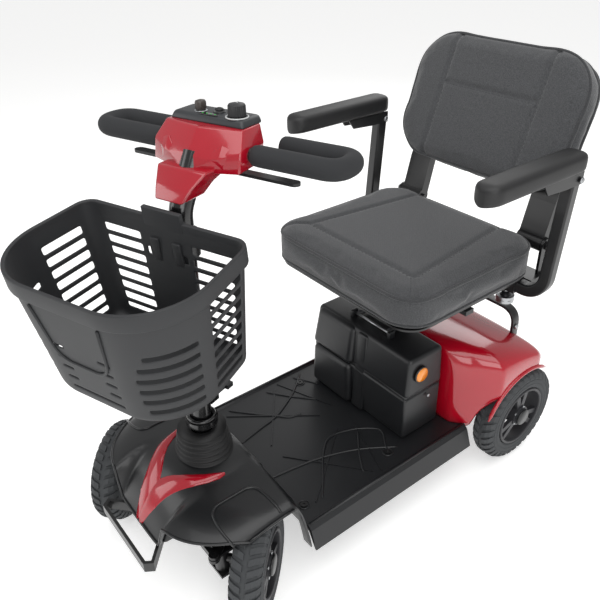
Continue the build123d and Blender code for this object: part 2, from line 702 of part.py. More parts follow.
with BuildPart() as grips:
    for side in (-1, 1):
        with BuildLine():
            FilletPolyline((side * foam_in_x, bar_y0, handle_bar_z),
                           (side * bar_out_x, bar_y0, handle_bar_z),
                           (side * bar_out_x, bar_y1, handle_bar_z),
                           (side * bar_end_x, bar_y1, handle_bar_z), radius=bend_r)
        with BuildSketch(Plane((side * foam_in_x, bar_y0, handle_bar_z), z_dir=(side, 0, 0))):
            Circle(foam_r)
        sweep()
    add(column_tube.part, mode=Mode.SUBTRACT)
write(grips.part.moved(tiller_place), "grips")


def head_outline(half_w, nose_y, side_y, rear_y):
    """The plan of the tiller head: a blunt arrow, its point to the front."""
    with BuildLine() as line:
        Polyline((0, nose_y), (half_w, side_y), (half_w - 6, rear_y), (6 - half_w, rear_y),
                 (-half_w, side_y), close=True)
    return line.line


neck = Plane((0, 6, column_top + 4), x_dir=(1, 0, 0), z_dir=(0, sin(radians(30)), cos(radians(30))))
with BuildPart() as head_cowl:
    with BuildSketch(neck):
        Rectangle(64, 50)
    with BuildSketch(neck.offset(54)):
        Rectangle(106, 62)
    loft()
    with BuildSketch(Plane.XY.offset(body_low)):
        add(head_outline(body_w / 2, 36, 60, 112))
        make_face()
    with BuildSketch(Plane.XY.offset(body_high)):
        add(head_outline(body_w / 2 - 2, 66, 86, 122))
        make_face()
    loft()
    add(column_tube.part, mode=Mode.SUBTRACT)
    with Locations((0, 92, body_low)):
        Cylinder(5 + run_fit, 24, mode=Mode.SUBTRACT)
write(head_cowl.part.moved(tiller_place), "head_cowl")

console_t = 12.0
control_depth = 10.0
stem_depth = 6.0
horn_travel = 2.5
dial_x, dial_y, dial_r = 46.0, head_y + 4, 14.0
key_x, key_y, key_r = -26.0, head_y + 6, 9.0
horn_x, horn_y, horn_r = 6.0, head_y + 12, 7.0
stem_hole_r = 4.0
controls = [(dial_x, dial_y, stem_hole_r), (key_x, key_y, stem_hole_r), (horn_x, horn_y, stem_hole_r)]
console_top = body_high + console_t
with BuildPart() as console:
    with BuildSketch(Plane.XY.offset(body_high)):
        with Locations((0, head_y + 10)):
            RectangleRounded(body_w - 24, 52, 12)
    extrude(amount=console_t, taper=8)
    with Locations((0, head_y + 34, (body_high + handle_bar_z) / 2 + 8)):
        Box(body_w - 40, 22, 46)
    add(head_cowl.part, mode=Mode.SUBTRACT)
    # holes for the stems of the dial, the key and the horn button
    for x, y, r in controls:
        with Locations((x, y, console_top)):
            Cylinder(r + run_fit, 2 * control_depth, mode=Mode.SUBTRACT)
write(console.part.moved(tiller_place), "console")

for name, x, y, r, h in (("speed_dial", dial_x, dial_y, dial_r, 20), ("key", key_x, key_y, key_r, 16),
                         ("horn_button", horn_x, horn_y, horn_r, 4)):
    float_z = horn_travel + gap if name == "horn_button" else 0.3
    with BuildPart() as control:
        with Locations((x, y, console_top + float_z + h / 2)):
            Cylinder(r, h)
        with Locations((x, y, console_top + (float_z - stem_depth) / 2)):
            Cylinder(stem_hole_r, float_z + stem_depth)
    write(control.part.moved(tiller_place), name)

# The throttle is one paddle under the bar, pivoted below the head.
paddle_z = body_low - 6.0
paddle_y = 92.0
with BuildPart() as throttle_lever:
    with BuildSketch(Plane.XY.offset(paddle_z - 4)):
        with Locations((0, paddle_y)):
            Circle(16)
        with Locations((0, paddle_y - 8)):
            SlotOverall(330, 18)
    extrude(amount=5)
    with Locations((0, paddle_y, paddle_z + 3)):
        Cylinder(5, 12)
write(throttle_lever.part.moved(tiller_place), "throttle_lever")

# ---- basket -----------------------------------------------------------------
basket_top = 722.0
basket_back_y = -column_r - 20.0
basket_h = 217.0
basket_tip = 8.2               # the whole basket tips forward by this much, degrees
basket_depth = 216.0
basket_back_w = 322.0
basket_front_w = 356.0
basket_taper = 0.862
basket_t = 3.0
rim_h = 30.0
rim_proud = 4.0
basket_place = tiller_place * Location((0, basket_back_y, basket_top), (basket_tip, 0, 0))


def basket_outline(level, share, inset):
    """The basket's plan at a level: flat at the back, round at the front."""
    back, front = basket_back_w / 2 * share - inset, basket_front_w / 2 * share - inset
    y0 = -basket_depth / 2 + basket_depth / 2 * share - inset
    y1 = -basket_depth / 2 - basket_depth / 2 * share + inset
    with BuildSketch(Plane.XY.offset(level)) as sketch:
        with BuildLine():
            Polyline((-back, y0), (back, y0), (front, y1), (-front, y1), close=True)
        make_face()
        fillet(sketch.vertices().group_by(Axis.Y)[-1], 25 - inset)
        fillet(sketch.vertices().group_by(Axis.Y)[0], 105 * share - inset)
    return sketch.sketch


with BuildPart() as basket:
    add(basket_outline(-basket_h, basket_taper, 0))
    add(basket_outline(0, 1, 0))
    loft()
    with BuildPart(mode=Mode.PRIVATE) as inside:
        add(basket_outline(basket_t - basket_h, basket_taper, basket_t))
        add(basket_outline(0.01, 1, basket_t))
        loft()
    add(basket_outline(-rim_h, 1, -rim_proud))
    extrude(amount=rim_h)
    add(inside.part, mode=Mode.SUBTRACT)
write(basket.part.moved(basket_place), "basket")

bracket_z = 668.0
with BuildPart() as basket_bracket:
    with Locations((0, 0, bracket_z)):
        Cylinder(column_r + 7, 40)
    with Locations((0, -column_r - 4, bracket_z)):
        Box(60, 14, 60)
    with Locations((0, 0, bracket_z)):
        Cylinder(column_r, 90, mode=Mode.SUBTRACT)
write(basket_bracket.part.moved(tiller_place), "basket_bracket")

# ---- seat post, swivel and seat frame ---------------------------------------
post_top = seat_base_z - 8.0
plate_z = 404.0
plate_r = 44.0
plate_t = 6.0
with BuildPart() as seat_post:
    with Locations((0, post_y, (socket_low + 60 + post_top) / 2)):
        Cylinder(post_r, post_top - socket_low - 60)
    with Locations((0, post_y, plate_z + plate_t / 2)):
        Cylinder(plate_r, plate_t)
write(seat_post.part, "seat_post")

hub_r = 30.0
corner_r = 60.0
receiver = arm_tube + 2 * arm_wall + 2 * run_fit
arm_z = seat_base_z - receiver / 2
seat_plate_t = 4.0
latch_x = 104.0
latch_y = post_y - 40.0
latch_z = seat_base_z - seat_plate_t - gap - 3.0
with BuildPart() as seat_frame:
    with Locations((0, post_y, (plate_z + plate_t + gap + seat_base_z) / 2)):
        Cylinder(hub_r, seat_base_z - plate_z - plate_t - gap)
    with Locations((0, (post_y + arm_y) / 2 - 20, seat_base_z - seat_plate_t / 2)):
        Box(230, 240, seat_plate_t)
    with Locations((latch_x, latch_y, seat_base_z - 11)):
        Cylinder(4, 16)
    with Locations((0, arm_y, seat_base_z - receiver / 2)):
        Box(2 * (seat_half_w - 18), receiver, receiver)
        Box(2 * seat_half_w, arm_tube + 2 * run_fit, arm_tube + 2 * run_fit, mode=Mode.SUBTRACT)
    with Locations((0, post_y, post_top - 40)):
        Cylinder(post_r + run_fit, 2 * 40.5, mode=Mode.SUBTRACT)
    for side in (-1, 1):
        with Locations((side * (seat_half_w - 46), arm_y, seat_base_z - receiver)):
            Cylinder(4 + run_fit, 14, mode=Mode.SUBTRACT)
    with BuildSketch(Plane.XY.offset(seat_base_z)):
        with Locations((0, (seat_front_y + seat_rear_y) / 2)):
            RectangleRounded(2 * seat_half_w - 24, seat_rear_y - seat_front_y - 24, corner_r - 12)
    extrude(amount=pan_t)
write(seat_frame.part, "seat_frame")

with BuildPart() as swivel_lever:
    with Locations((latch_x + 20, latch_y, latch_z)):
        Box(100, 16, 6)
    with Locations((latch_x, latch_y, latch_z)):
        Cylinder(10, 6)
        Cylinder(4 + run_fit, 10, mode=Mode.SUBTRACT)
    with Locations((latch_x + 78, latch_y, latch_z - 2)):
        Box(44, 22, 10)
write(swivel_lever.part, "swivel_lever")

with BuildPart() as seat_cushion:
    with BuildSketch(Plane.XY.offset(seat_base_z + pan_t)):
        with Locations((0, (seat_front_y + seat_rear_y) / 2)):
            RectangleRounded(2 * seat_half_w, seat_rear_y - seat_front_y, corner_r)
    extrude(amount=cushion_t)
    fillet(seat_cushion.faces().sort_by(Axis.Z)[-1].edges(), 14)
write(seat_cushion.part, "seat_cushion")

# ---- backrest, built upright about its hinge --------------------------------
bracket_x = 168.0
bracket_w = 66.0
bracket_t = 6.0
cheek_r = 16.0
bolt_r = 5.0
# the fixed half of the hinge stands on the ends of the armrest receiver
with BuildPart() as seat_brackets:
    for side in (-1, 1):
        with Locations((side * (bracket_x + bracket_w / 2), back_hinge_y, back_hinge_z)):
            Cylinder(cheek_r, bracket_t, rotation=(0, 90, 0))
        with Locations((side * (bracket_x + bracket_w / 2), back_hinge_y,
                        (seat_base_z - receiver + back_hinge_z) / 2)):
            Box(bracket_t, 2 * cheek_r, back_hinge_z - seat_base_z + receiver)
        with Locations((side * (bracket_x + 4), (arm_y + receiver / 2 + back_hinge_y) / 2,
                        seat_base_z - receiver / 2)):
            Box(bracket_w + 14, back_hinge_y - arm_y - receiver / 2, receiver - 6)
    with Locations((0, back_hinge_y, back_hinge_z)):
        Cylinder(bolt_r + run_fit, 4 * bracket_x, rotation=(0, 90, 0), mode=Mode.SUBTRACT)
write(seat_brackets.part, "seat_brackets")

with BuildPart() as back_brackets:
    for side in (-1, 1):
        with Locations((side * (bracket_x - gap), 0, 0)):
            Cylinder(cheek_r, bracket_w - bracket_t - 2 * gap, rotation=(0, 90, 0))
        with BuildSketch(Plane.YZ.offset(side * (bracket_x - gap) - bracket_w / 2 + bracket_t / 2 + gap)):
            with BuildLine():
                Polyline((-8, -4), (14, -4), (back_rear + shell_t + 14, back_low + 40),
                         (back_rear + shell_t, back_low + 90), (back_rear + shell_t, back_low - 6),
                         close=True)
            make_face()
        extrude(amount=bracket_w - bracket_t - 2 * gap)
        with Locations((side * (bracket_x + 4), 0, 0)):
            Cylinder(bolt_r, bracket_w + 14, rotation=(0, 90, 0))
        with Locations((side * (bracket_x + bracket_w / 2 + bracket_t / 2 + gap + 3), 0, 0)):
            Cylinder(9, 6, rotation=(0, 90, 0))
write(back_brackets.part.moved(back_place), "back_brackets")

back_r = 85.0
with BuildPart() as back_shell:
    with BuildSketch(Plane.XZ.offset(-back_rear - shell_t)):
        with Locations((0, (back_low + back_high) / 2)):
            RectangleRounded(2 * back_half_w - 16, back_high - back_low - 16, back_r - 8)
    extrude(amount=shell_t)
write(back_shell.part.moved(back_place), "back_shell")

with BuildPart() as back_cushion:
    with BuildSketch(Plane.XZ.offset(-back_rear)):
        with Locations((0, (back_low + back_high) / 2)):
            RectangleRounded(2 * back_half_w, back_high - back_low, back_r)
    extrude(amount=back_rear - back_front)
    fillet(back_cushion.faces().sort_by(Axis.Y)[0].edges(), 12)
write(back_cushion.part.moved(back_place), "back_cushion")

# ---- armrests ---------------------------------------------------------------
arm_bend_r = 42.0
arm_in_x = 70.0
arm_top_z = arm_hinge_z + 6.0
arm_hinge_y = arm_y + (arm_hinge_z - arm_z) * tan(radians(arm_lean))
arm_top_y = arm_y + (arm_top_z - arm_z) * tan(radians(arm_lean))
pad_low_z = arm_hinge_z + 15.0
pad_rear_y = arm_hinge_y + 14.0
cheek_t = 3.0
arm_pin_r = 4.0
cheek_gap = 1.2
for name, side in (("left", -1), ("right", 1)):
    with BuildPart() as arm_rail:
        with BuildLine():
            FilletPolyline((side * arm_in_x, arm_y, arm_z), (side * arm_x, arm_y, arm_z),
                           (side * arm_x, arm_top_y, arm_top_z), radius=arm_bend_r)
        with BuildSketch(Plane((side * arm_in_x, arm_y, arm_z), z_dir=(side, 0, 0))):
            RectangleRounded(arm_tube, arm_tube, 4)
        sweep()
        with Locations((side * arm_x, arm_hinge_y, arm_hinge_z)):
            Cylinder(arm_pin_r + run_fit, 60, rotation=(0, 90, 0), mode=Mode.SUBTRACT)
    write(arm_rail.part, f"arm_rail_{name}")
    with BuildPart() as arm_bracket:
        with Locations((side * arm_x, 0, 0)):
            for cheek in (-1, 1):
                with BuildSketch(Plane.YZ.offset(
                        side * arm_x + cheek * (arm_tube / 2 + cheek_gap + cheek_t / 2) - cheek_t / 2)):
                    with BuildLine():
                        Polyline((arm_hinge_y - 110, pad_low_z), (arm_hinge_y - 96, pad_low_z - 20),
                                 (arm_hinge_y - 40, pad_low_z - 24), (arm_hinge_y - 8, arm_hinge_z - 9),
                                 (arm_hinge_y + 9, arm_hinge_z - 9), (arm_hinge_y + 9, pad_low_z),
                                 close=True)
                    make_face()
                extrude(amount=cheek_t)
        with Locations((side * arm_x, arm_hinge_y - 66, pad_low_z - 1.5)):
            Box(arm_tube + 2 * cheek_gap, 88, 3)
        with Locations((side * arm_x, arm_hinge_y, arm_hinge_z)):
            Cylinder(arm_pin_r, arm_tube + 2 * cheek_gap + 2 * cheek_t + 4, rotation=(0, 90, 0))
    write(arm_bracket.part, f"arm_bracket_{name}")
    with BuildPart() as arm_pad:
        with BuildSketch(Plane.XY.offset(pad_low_z)):
            with Locations((side * arm_x, pad_rear_y - pad_len / 2)):
                SlotOverall(pad_len, pad_w, rotation=90)
        extrude(amount=pad_h)
        fillet(arm_pad.faces().sort_by(Axis.Z)[-1].edges(), 14)
    write(arm_pad.part, f"arm_pad_{name}")
    with BuildPart() as arm_knob:
        with Locations((side * (seat_half_w - 46), arm_y, arm_z - receiver / 2 - 26)):
            Cylinder(19, 14)
            with Locations((0, 0, 9)):
                Cylinder(8, 6)
            with Locations((0, 0, 18)):
                Cylinder(4, 20)
    write(arm_knob.part, f"arm_knob_{name}")
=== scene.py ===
"""Looks of a four-wheel mobility scooter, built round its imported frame. Metres; -Y is the front, +Z is up."""
import json
from math import cos, pi, radians, sin, sqrt

import bmesh
import bpy
from mathutils import Matrix, Vector

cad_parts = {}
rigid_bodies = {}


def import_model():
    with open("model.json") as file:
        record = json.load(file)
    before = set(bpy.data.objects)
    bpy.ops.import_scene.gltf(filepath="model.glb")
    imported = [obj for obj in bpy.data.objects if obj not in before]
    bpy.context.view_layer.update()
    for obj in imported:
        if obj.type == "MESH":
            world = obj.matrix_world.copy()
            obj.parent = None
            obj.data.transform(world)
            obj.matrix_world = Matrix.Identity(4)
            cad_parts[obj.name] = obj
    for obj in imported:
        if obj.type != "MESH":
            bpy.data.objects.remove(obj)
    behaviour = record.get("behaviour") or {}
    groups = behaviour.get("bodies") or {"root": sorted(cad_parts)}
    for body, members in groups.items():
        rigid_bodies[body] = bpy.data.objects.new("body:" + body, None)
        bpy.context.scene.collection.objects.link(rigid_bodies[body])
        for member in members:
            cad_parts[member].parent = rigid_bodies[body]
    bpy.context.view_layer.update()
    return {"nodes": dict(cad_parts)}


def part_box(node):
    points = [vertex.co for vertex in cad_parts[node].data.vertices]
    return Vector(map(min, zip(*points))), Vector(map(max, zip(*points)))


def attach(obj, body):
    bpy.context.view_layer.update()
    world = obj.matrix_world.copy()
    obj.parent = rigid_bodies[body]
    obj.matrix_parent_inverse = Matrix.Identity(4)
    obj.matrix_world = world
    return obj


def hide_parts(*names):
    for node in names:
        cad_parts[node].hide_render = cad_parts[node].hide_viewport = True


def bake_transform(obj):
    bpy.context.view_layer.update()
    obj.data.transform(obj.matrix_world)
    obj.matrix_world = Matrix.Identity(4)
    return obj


# ---- the view and the room -----------------------------------------------------------------------
# A pale seamless floor, one big soft lamp overhead and two weaker ones at the sides,
# as in a small product studio.
for old in list(bpy.data.objects):
    bpy.data.objects.remove(old)
scene = bpy.context.scene
camera = bpy.data.objects.new("camera", bpy.data.cameras.new("camera"))
scene.collection.objects.link(camera)
right = Vector((0.61777924, 0.78612396, -0.01891874))
down = Vector((0.4039362, -0.33789346, -0.8500962))
ahead = Vector((-0.67467352, 0.51752983, -0.52628749))
turn = Matrix((right, -down, -ahead)).transposed().to_4x4()
camera.matrix_world = Matrix.Translation((0.86726, -0.70442, 1.14388)) @ turn
camera.data.sensor_width = 36
camera.data.lens = 40.36
camera.data.shift_x = -0.00575
camera.data.shift_y = 0.00225
camera.data.clip_start = 0.05
scene.camera = camera


def colour(code):
    """The linear colour of an sRGB hex code."""
    parts = [int(code[i:i + 2], 16) / 255 for i in (1, 3, 5)]
    return [p / 12.92 if p <= 0.04045 else ((p + 0.055) / 1.055) ** 2.4 for p in parts] + [1]


def node(tree, kind, links=(), **values):
    """Adds a node; values go to its properties or inputs, links are (input, output socket) pairs."""
    made = tree.nodes.new(kind)
    for key, value in values.items():
        if hasattr(made, key):
            setattr(made, key, value)
    for key, value in values.items():
        if not hasattr(made, key):
            made.inputs[key.replace("_", " ")].default_value = value
    for key, source in links:
        tree.links.new(source, made.inputs[key])
    return made


def finish(name, base, rough, grain_mm=0.4, depth_mm=0.02, metal=0.0, coat=0.0, second=None, **shader):
    """A finish with a moulded or sprayed grain: base and second colours mottle over the grain."""
    mat = bpy.data.materials.new(name)
    mat.use_nodes = True
    tree = mat.node_tree
    tree.nodes.clear()
    out = node(tree, "ShaderNodeOutputMaterial")
    place = node(tree, "ShaderNodeTexCoord").outputs["Object"]
    fine = node(tree, "ShaderNodeTexNoise", [("Vector", place)], Scale=1000 / grain_mm, Detail=3.0)
    broad = node(tree, "ShaderNodeTexNoise", [("Vector", place)], Scale=14.0, Detail=4.0)
    mix = node(tree, "ShaderNodeMix", [(0, broad.outputs["Fac"])], data_type="RGBA")
    mix.inputs[6].default_value = colour(base)
    mix.inputs[7].default_value = colour(second or base)
    spread = node(tree, "ShaderNodeMapRange", [("Value", broad.outputs["Fac"])])
    spread.inputs["To Min"].default_value = max(rough - 0.05, 0.03)
    spread.inputs["To Max"].default_value = rough + 0.05
    bump = node(tree, "ShaderNodeBump", [("Height", fine.outputs["Fac"])], Strength=0.6,
                Distance=depth_mm / 1000)
    body = node(tree, "ShaderNodeBsdfPrincipled",
                [("Base Color", mix.outputs[2]), ("Roughness", spread.outputs["Result"]),
                 ("Normal", bump.outputs["Normal"])], Metallic=metal)
    body.inputs["Coat Weight"].default_value = coat
    body.inputs["Coat Roughness"].default_value = 0.06
    for key, value in shader.items():
        body.inputs[key.replace("_", " ")].default_value = value
    tree.links.new(body.outputs[0], out.inputs["Surface"])
    return mat


floor_paint = finish("white_matt_floor_paint", "#f1f1f0", 0.75, 2, 0.02, Emission_Color=(1, 1, 1, 1),
                     Emission_Strength=0.45)
bpy.ops.mesh.primitive_plane_add(size=60)
floor = bpy.context.object
floor.name = "floor"
floor.data.materials.append(floor_paint)
for lamp, place, size, power in (("lamp_top", (0.5, -0.3, 2.6), 2.6, 40),
                                 ("lamp_side", (2.4, -1.2, 1.5), 1.6, 22),
                                 ("lamp_front", (-1.6, -2.6, 1.5), 1.6, 16), ("lamp_back", (-1.4, 2.2, 1.9),
            1.6, 15)):
    light = bpy.data.objects.new(lamp, bpy.data.lights.new(lamp, "AREA"))
    light.data.size = size
    light.data.energy = power
    light.location = place
    light.rotation_euler = (Vector((0, 0, 0.35)) - Vector(place)).to_track_quat("-Z", "Y").to_euler()
    scene.collection.objects.link(light)
scene.world = bpy.data.worlds.new("room")
scene.world.use_nodes = True
room = scene.world.node_tree
sky = room.nodes["Background"]
sky.inputs["Color"].default_value = (1, 1, 1, 1)
# the room lights the scooter at half strength but is seen as white
seen = node(room, "ShaderNodeLightPath").outputs["Is Camera Ray"]
level = node(room, "ShaderNodeMapRange", [("Value", seen)])
level.inputs["To Min"].default_value = 0.5
room.links.new(level.outputs["Result"], sky.inputs["Strength"])
scene.view_settings.view_transform = "Standard"

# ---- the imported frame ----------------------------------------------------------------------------
# Every tube, hinge and wheel comes from the engineering model and keeps its size and place.
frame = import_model()
cad = frame["nodes"]


def dress(names, mat):
    """Gives engineering pieces their finish."""
    for name in names:
        cad[name].data.materials.clear()
        cad[name].data.materials.append(mat)


# ---- frames, axle beam, stem and linkage ---------------------------------------------------------
# Welded square and round steel tube, sprayed with satin black powder and baked. The tie rod,
# the knuckles and the stem bolt to it.
# Powder melts to a slightly rippled skin with a soft sheen.
powder_coat = finish("black_powder_coat_on_steel", "#141415", 0.34, 1.2, 0.03, coat=0.15, second="#19191a")
dress(["front_frame", "rear_frame", "front_bumper", "anti_tip_arms", "tie_rod", "steering_stem",
       "knuckle_left", "knuckle_right", "seat_post", "seat_frame", "basket_bracket"],
      powder_coat)
# As cast: dull silver, with a sandy grain.
cast_alloy = finish("cast_aluminium_gearbox", "#8d9093", 0.48, 0.9, 0.05, metal=1.0)
dress(["transaxle"], cast_alloy)
# Dipped enamel: smooth and fairly shiny.
motor_paint = finish("black_motor_enamel", "#1b1b1d", 0.3, 1.5, 0.02)
dress(["drive_motor"], motor_paint)

# ---- floor pan -----------------------------------------------------------------------------------
# One vacuum-formed sheet of black ABS with a raised lip, sloping side skirts and a
# fine leather grain. Four screws hold it to the rails.
# The mould is etched like leather, which breaks up the highlights.
abs_grain = finish("black_abs_grained", "#17181a", 0.4, 0.7, 0.05, second="#1d1e20")
dress(["controller", "freewheel_lever"], abs_grain)
# Bright zinc: pale grey metal with a satin shine.
zinc = finish("zinc_plated_steel", "#a9abad", 0.32, 0.5, 0.02, metal=1.0)
dress(["deck_screws"], powder_coat)


def outward(mesh, merge=0.0):
    """Merges doubled points and turns every face outwards."""
    made = bmesh.new()
    made.from_mesh(mesh)
    if merge:
        bmesh.ops.remove_doubles(made, verts=made.verts, dist=merge)
    bmesh.ops.recalc_face_normals(made, faces=made.faces)
    made.to_mesh(mesh)
    made.free()


def piece(name, verts, faces, mat, body, slot_name, smooth=True, place=None, replaces=()):
    """A mesh from points and faces, put in place, finished and hung on its body."""
    mesh = bpy.data.meshes.new(name)
    mesh.from_pydata(verts, [], faces)
    if place:
        mesh.transform(place)
    outward(mesh, 0.00001)
    obj = bpy.data.objects.new(name, mesh)
    scene.collection.objects.link(obj)
    mesh.materials.append(mat)
    for face in mesh.polygons:
        face.use_smooth = smooth
    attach(obj, body)
    if replaces:
        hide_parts(*replaces)
    return obj


def thicken(obj, wall, rounding=0.0, levels=0, offset=-1.0):
    """A wall thickness, softened edges and one or more smoothing levels."""
    solid = obj.modifiers.new("wall", "SOLIDIFY")
    solid.thickness = wall
    solid.offset = offset
    if rounding:
        soften(obj, rounding)
    if levels:
        smooth = obj.modifiers.new("smooth", "SUBSURF")
        smooth.levels = smooth.render_levels = levels
    return obj


def soften(obj, radius, steps=2, angle=35):
    """Rounds the sharp edges, as a mould does."""
    edge = obj.modifiers.new("edges", "BEVEL")
    edge.width = radius
    edge.segments = steps
    edge.angle_limit = radians(angle)
    return obj


def grid(rows, n, closed=True):
    """Faces that join each row of n points to the next; a closed row also joins its own ends."""
    return [(i * n + k, i * n + (k + 1) % n, (i + 1) * n + (k + 1) % n, (i + 1) * n + k)
            for i in range(rows - 1) for k in range(n if closed else n - 1)]


def pipe(path, radius, sides=16, closed=False, cap=True):
    """Points and faces of a round bar along a path; radius may be one number or one for each point."""
    path = [Vector(p) for p in path]
    n = len(path)
    radii = radius if isinstance(radius, (list, tuple)) else [radius] * n
    verts, faces = [], []
    ahead = (path[1] - path[0]).normalized()
    up = ahead.orthogonal().normalized()
    for i, p in enumerate(path):
        if closed:
            way = (path[(i + 1) % n] - path[i - 1]).normalized()
        else:
            way = (path[min(i + 1, n - 1)] - path[max(i - 1, 0)]).normalized()
        up = (up - way * up.dot(way)).normalized()
        side = way.cross(up)
        for k in range(sides):
            a = 2 * pi * k / sides
            verts.append(p + (up * cos(a) + side * sin(a)) * radii[i])
    for i in range(n if closed else n - 1):
        for k in range(sides):
            j, m = (i + 1) % n, (k + 1) % sides
            faces.append((i * sides + k, i * sides + m, j * sides + m, j * sides + k))
    if not closed and cap:
        faces += [tuple(range(sides)), tuple(range((n - 1) * sides, n * sides))]
    return verts, faces


def hoop(radius, z, bar, points, sides=8):
    """Points and faces of a level ring of round bar."""
    path = [(radius * cos(2 * pi * k / points), radius * sin(2 * pi * k / points), z) for k in range(points)]
    return pipe(path, bar, sides, True)


def rounded_path(corners, radius, steps=6, closed=False):
    """The corners joined by straight runs and round bends."""
    corners = [Vector(c) for c in corners]
    n = len(corners)
    path = []
    for i, c in enumerate(corners):
        if not closed and i in (0, n - 1):
            path.append(c)
            continue
        a, b = corners[i - 1] - c, corners[(i + 1) % n] - c
        r = min(radius, a.length * 0.49, b.length * 0.49)
        p, q = c + a.normalized() * r, c + b.normalized() * r
        for k in range(steps + 1):
            t = k / steps
            path.append(p * (1 - t) ** 2 + c * 2 * t * (1 - t) + q * t ** 2)
    return path


deck_z = 0.126
dress(["deck_pan"], abs_grain)


def repeat(name, shape, places, mat, body):
    """Copies a small shape to many places (point, turn in radians) with Geometry Nodes, as one plain mesh."""
    base = bpy.data.meshes.new(name + "_shape")
    base.from_pydata(shape[0], [], shape[1])
    model = bpy.data.objects.new(name + "_shape", base)
    scene.collection.objects.link(model)
    dots = bpy.data.meshes.new(name + "_places")
    dots.from_pydata([p for p, _ in places], [], [])
    turns = dots.attributes.new("turn", "FLOAT_VECTOR", "POINT")
    for i, (_, angle) in enumerate(places):
        turns.data[i].vector = angle
    holder = bpy.data.objects.new(name + "_places", dots)
    scene.collection.objects.link(holder)
    tree = bpy.data.node_groups.new(name + "_repeat", "GeometryNodeTree")
    tree.interface.new_socket("Places", in_out="INPUT", socket_type="NodeSocketGeometry")
    item = tree.interface.new_socket("Shape", in_out="INPUT", socket_type="NodeSocketObject")
    size = tree.interface.new_socket("Size", in_out="INPUT", socket_type="NodeSocketFloat")
    tree.interface.new_socket("Result", in_out="OUTPUT", socket_type="NodeSocketGeometry")
    start = node(tree, "NodeGroupInput")
    part = node(tree, "GeometryNodeObjectInfo", [("Object", start.outputs["Shape"])])
    angle = node(tree, "GeometryNodeInputNamedAttribute", data_type="FLOAT_VECTOR", Name="turn")
    spin = node(tree, "FunctionNodeEulerToRotation", [("Euler", angle.outputs["Attribute"])])
    copies = node(tree, "GeometryNodeInstanceOnPoints",
                  [("Points", start.outputs["Places"]), ("Instance", part.outputs["Geometry"]),
                   ("Rotation", spin.outputs["Rotation"]), ("Scale", start.outputs["Size"])])
    real = node(tree, "GeometryNodeRealizeInstances", [("Geometry", copies.outputs["Instances"])])
    paint = node(tree, "GeometryNodeSetMaterial", [("Geometry", real.outputs["Geometry"])], Material=mat)
    end = node(tree, "NodeGroupOutput")
    tree.links.new(paint.outputs["Geometry"], end.inputs["Result"])
    mod = holder.modifiers.new("repeat", "NODES")
    mod.node_group = tree
    mod[item.identifier] = model
    mod[size.identifier] = 1.0
    bpy.context.view_layer.update()
    mesh = bpy.data.meshes.new_from_object(holder.evaluated_get(bpy.context.evaluated_depsgraph_get()))
    holder.modifiers.clear()
    for spare in (holder, model):
        bpy.data.objects.remove(spare)
    mesh.name = name
    obj = bpy.data.objects.new(name, mesh)
    scene.collection.objects.link(obj)
    for face in mesh.polygons:
        face.use_smooth = True
    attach(obj, body)
    return obj


def disc(radius, height, sides=24, chamfer=0.2):
    """Points and faces of a round button along Z, its base at zero, its top edge chamfered."""
    rings = [(0, radius), (height * (1 - chamfer), radius), (height, radius - height * chamfer)]
    verts = [(r * cos(2 * pi * k / sides), r * sin(2 * pi * k / sides), z) for z, r in rings
             for k in range(sides)]
    return verts, grid(3, sides) + [tuple(reversed(range(sides))), tuple(range(2 * sides, 3 * sides))]


# ---- screws of the floor pan ---------------------------------------------------------------------
# Pan-head steel screws, blackened, each in a round recess ring moulded in the pan.
repeat("pan_screw_rings", hoop(0.0105, 0, 0.0016, 28), [((x, y, deck_z + 0.0004), (0, 0, 0))
                                                        for x in (-0.15, 0.15) for y in (-0.164, 0.06)],
       abs_grain, "chassis")

# ---- ribs of the floor pan -----------------------------------------------------------------------
# Low half-round ribs moulded in the pan: long curves that cross each other, a group on either side.
rib_runs = [[(54, -181), (63, -115), (76, -55), (106, 19), (156, 92)],
            [(160, -127), (119, -90), (76, -55), (40, -8), (51, 47), (80, 88), (102, 92), (131, 72),
             (157, 58)],
            [(64, 54), (108, 17), (133, -1), (161, -19)],
            [(-173, -129), (-119, -82), (-89, -54), (-68, -34), (-59, -4)],
            [(-173, -24), (-121, 14), (-75, 54)], [(-176, 58), (-147, 76), (-118, 92)],
            [(-179, 82), (-151, 50), (-123, 12), (-89, -54), (-78, -106), (-65, -169)]]
rib_path = []
for run in rib_runs:
    ends = [run[0]] + run + [run[-1]]
    line = []
    for p0, p1, p2, p3 in zip(ends, ends[1:], ends[2:], ends[3:]):
        for k in range(10):
            t = k / 10
            w = (-t + 2 * t * t - t ** 3, 2 - 5 * t * t + 3 * t ** 3, t + 4 * t * t - 3 * t ** 3,
                 t ** 3 - t * t)
            line.append([sum(w[i] * q[n] for i, q in enumerate((p0, p1, p2, p3))) / 2000 for n in (0, 1)]
                        + [deck_z + 0.0006])
    rib_path.append(line)
rib_verts, rib_faces = [], []
for path in rib_path:
    v, f = pipe(path, [0.0006, 0.0018] + [0.0025] * (len(path) - 4) + [0.0018, 0.0006], 10)
    rib_faces += [tuple(i + len(rib_verts) for i in face) for face in f]
    rib_verts += v
piece("pan_ribs", rib_verts, rib_faces, abs_grain, "chassis", "black_abs")
lip_x, lip_z = 0.196, 0.1302
for side, name in ((-1, "left"), (1, "right")):
    lip = rounded_path([(side * lip_x, -0.186, lip_z), (side * lip_x, 0.244, lip_z)], 0.01)
    piece("pan_lip_" + name, *pipe(lip, 0.0028, 10), abs_grain, "chassis", "black_abs")

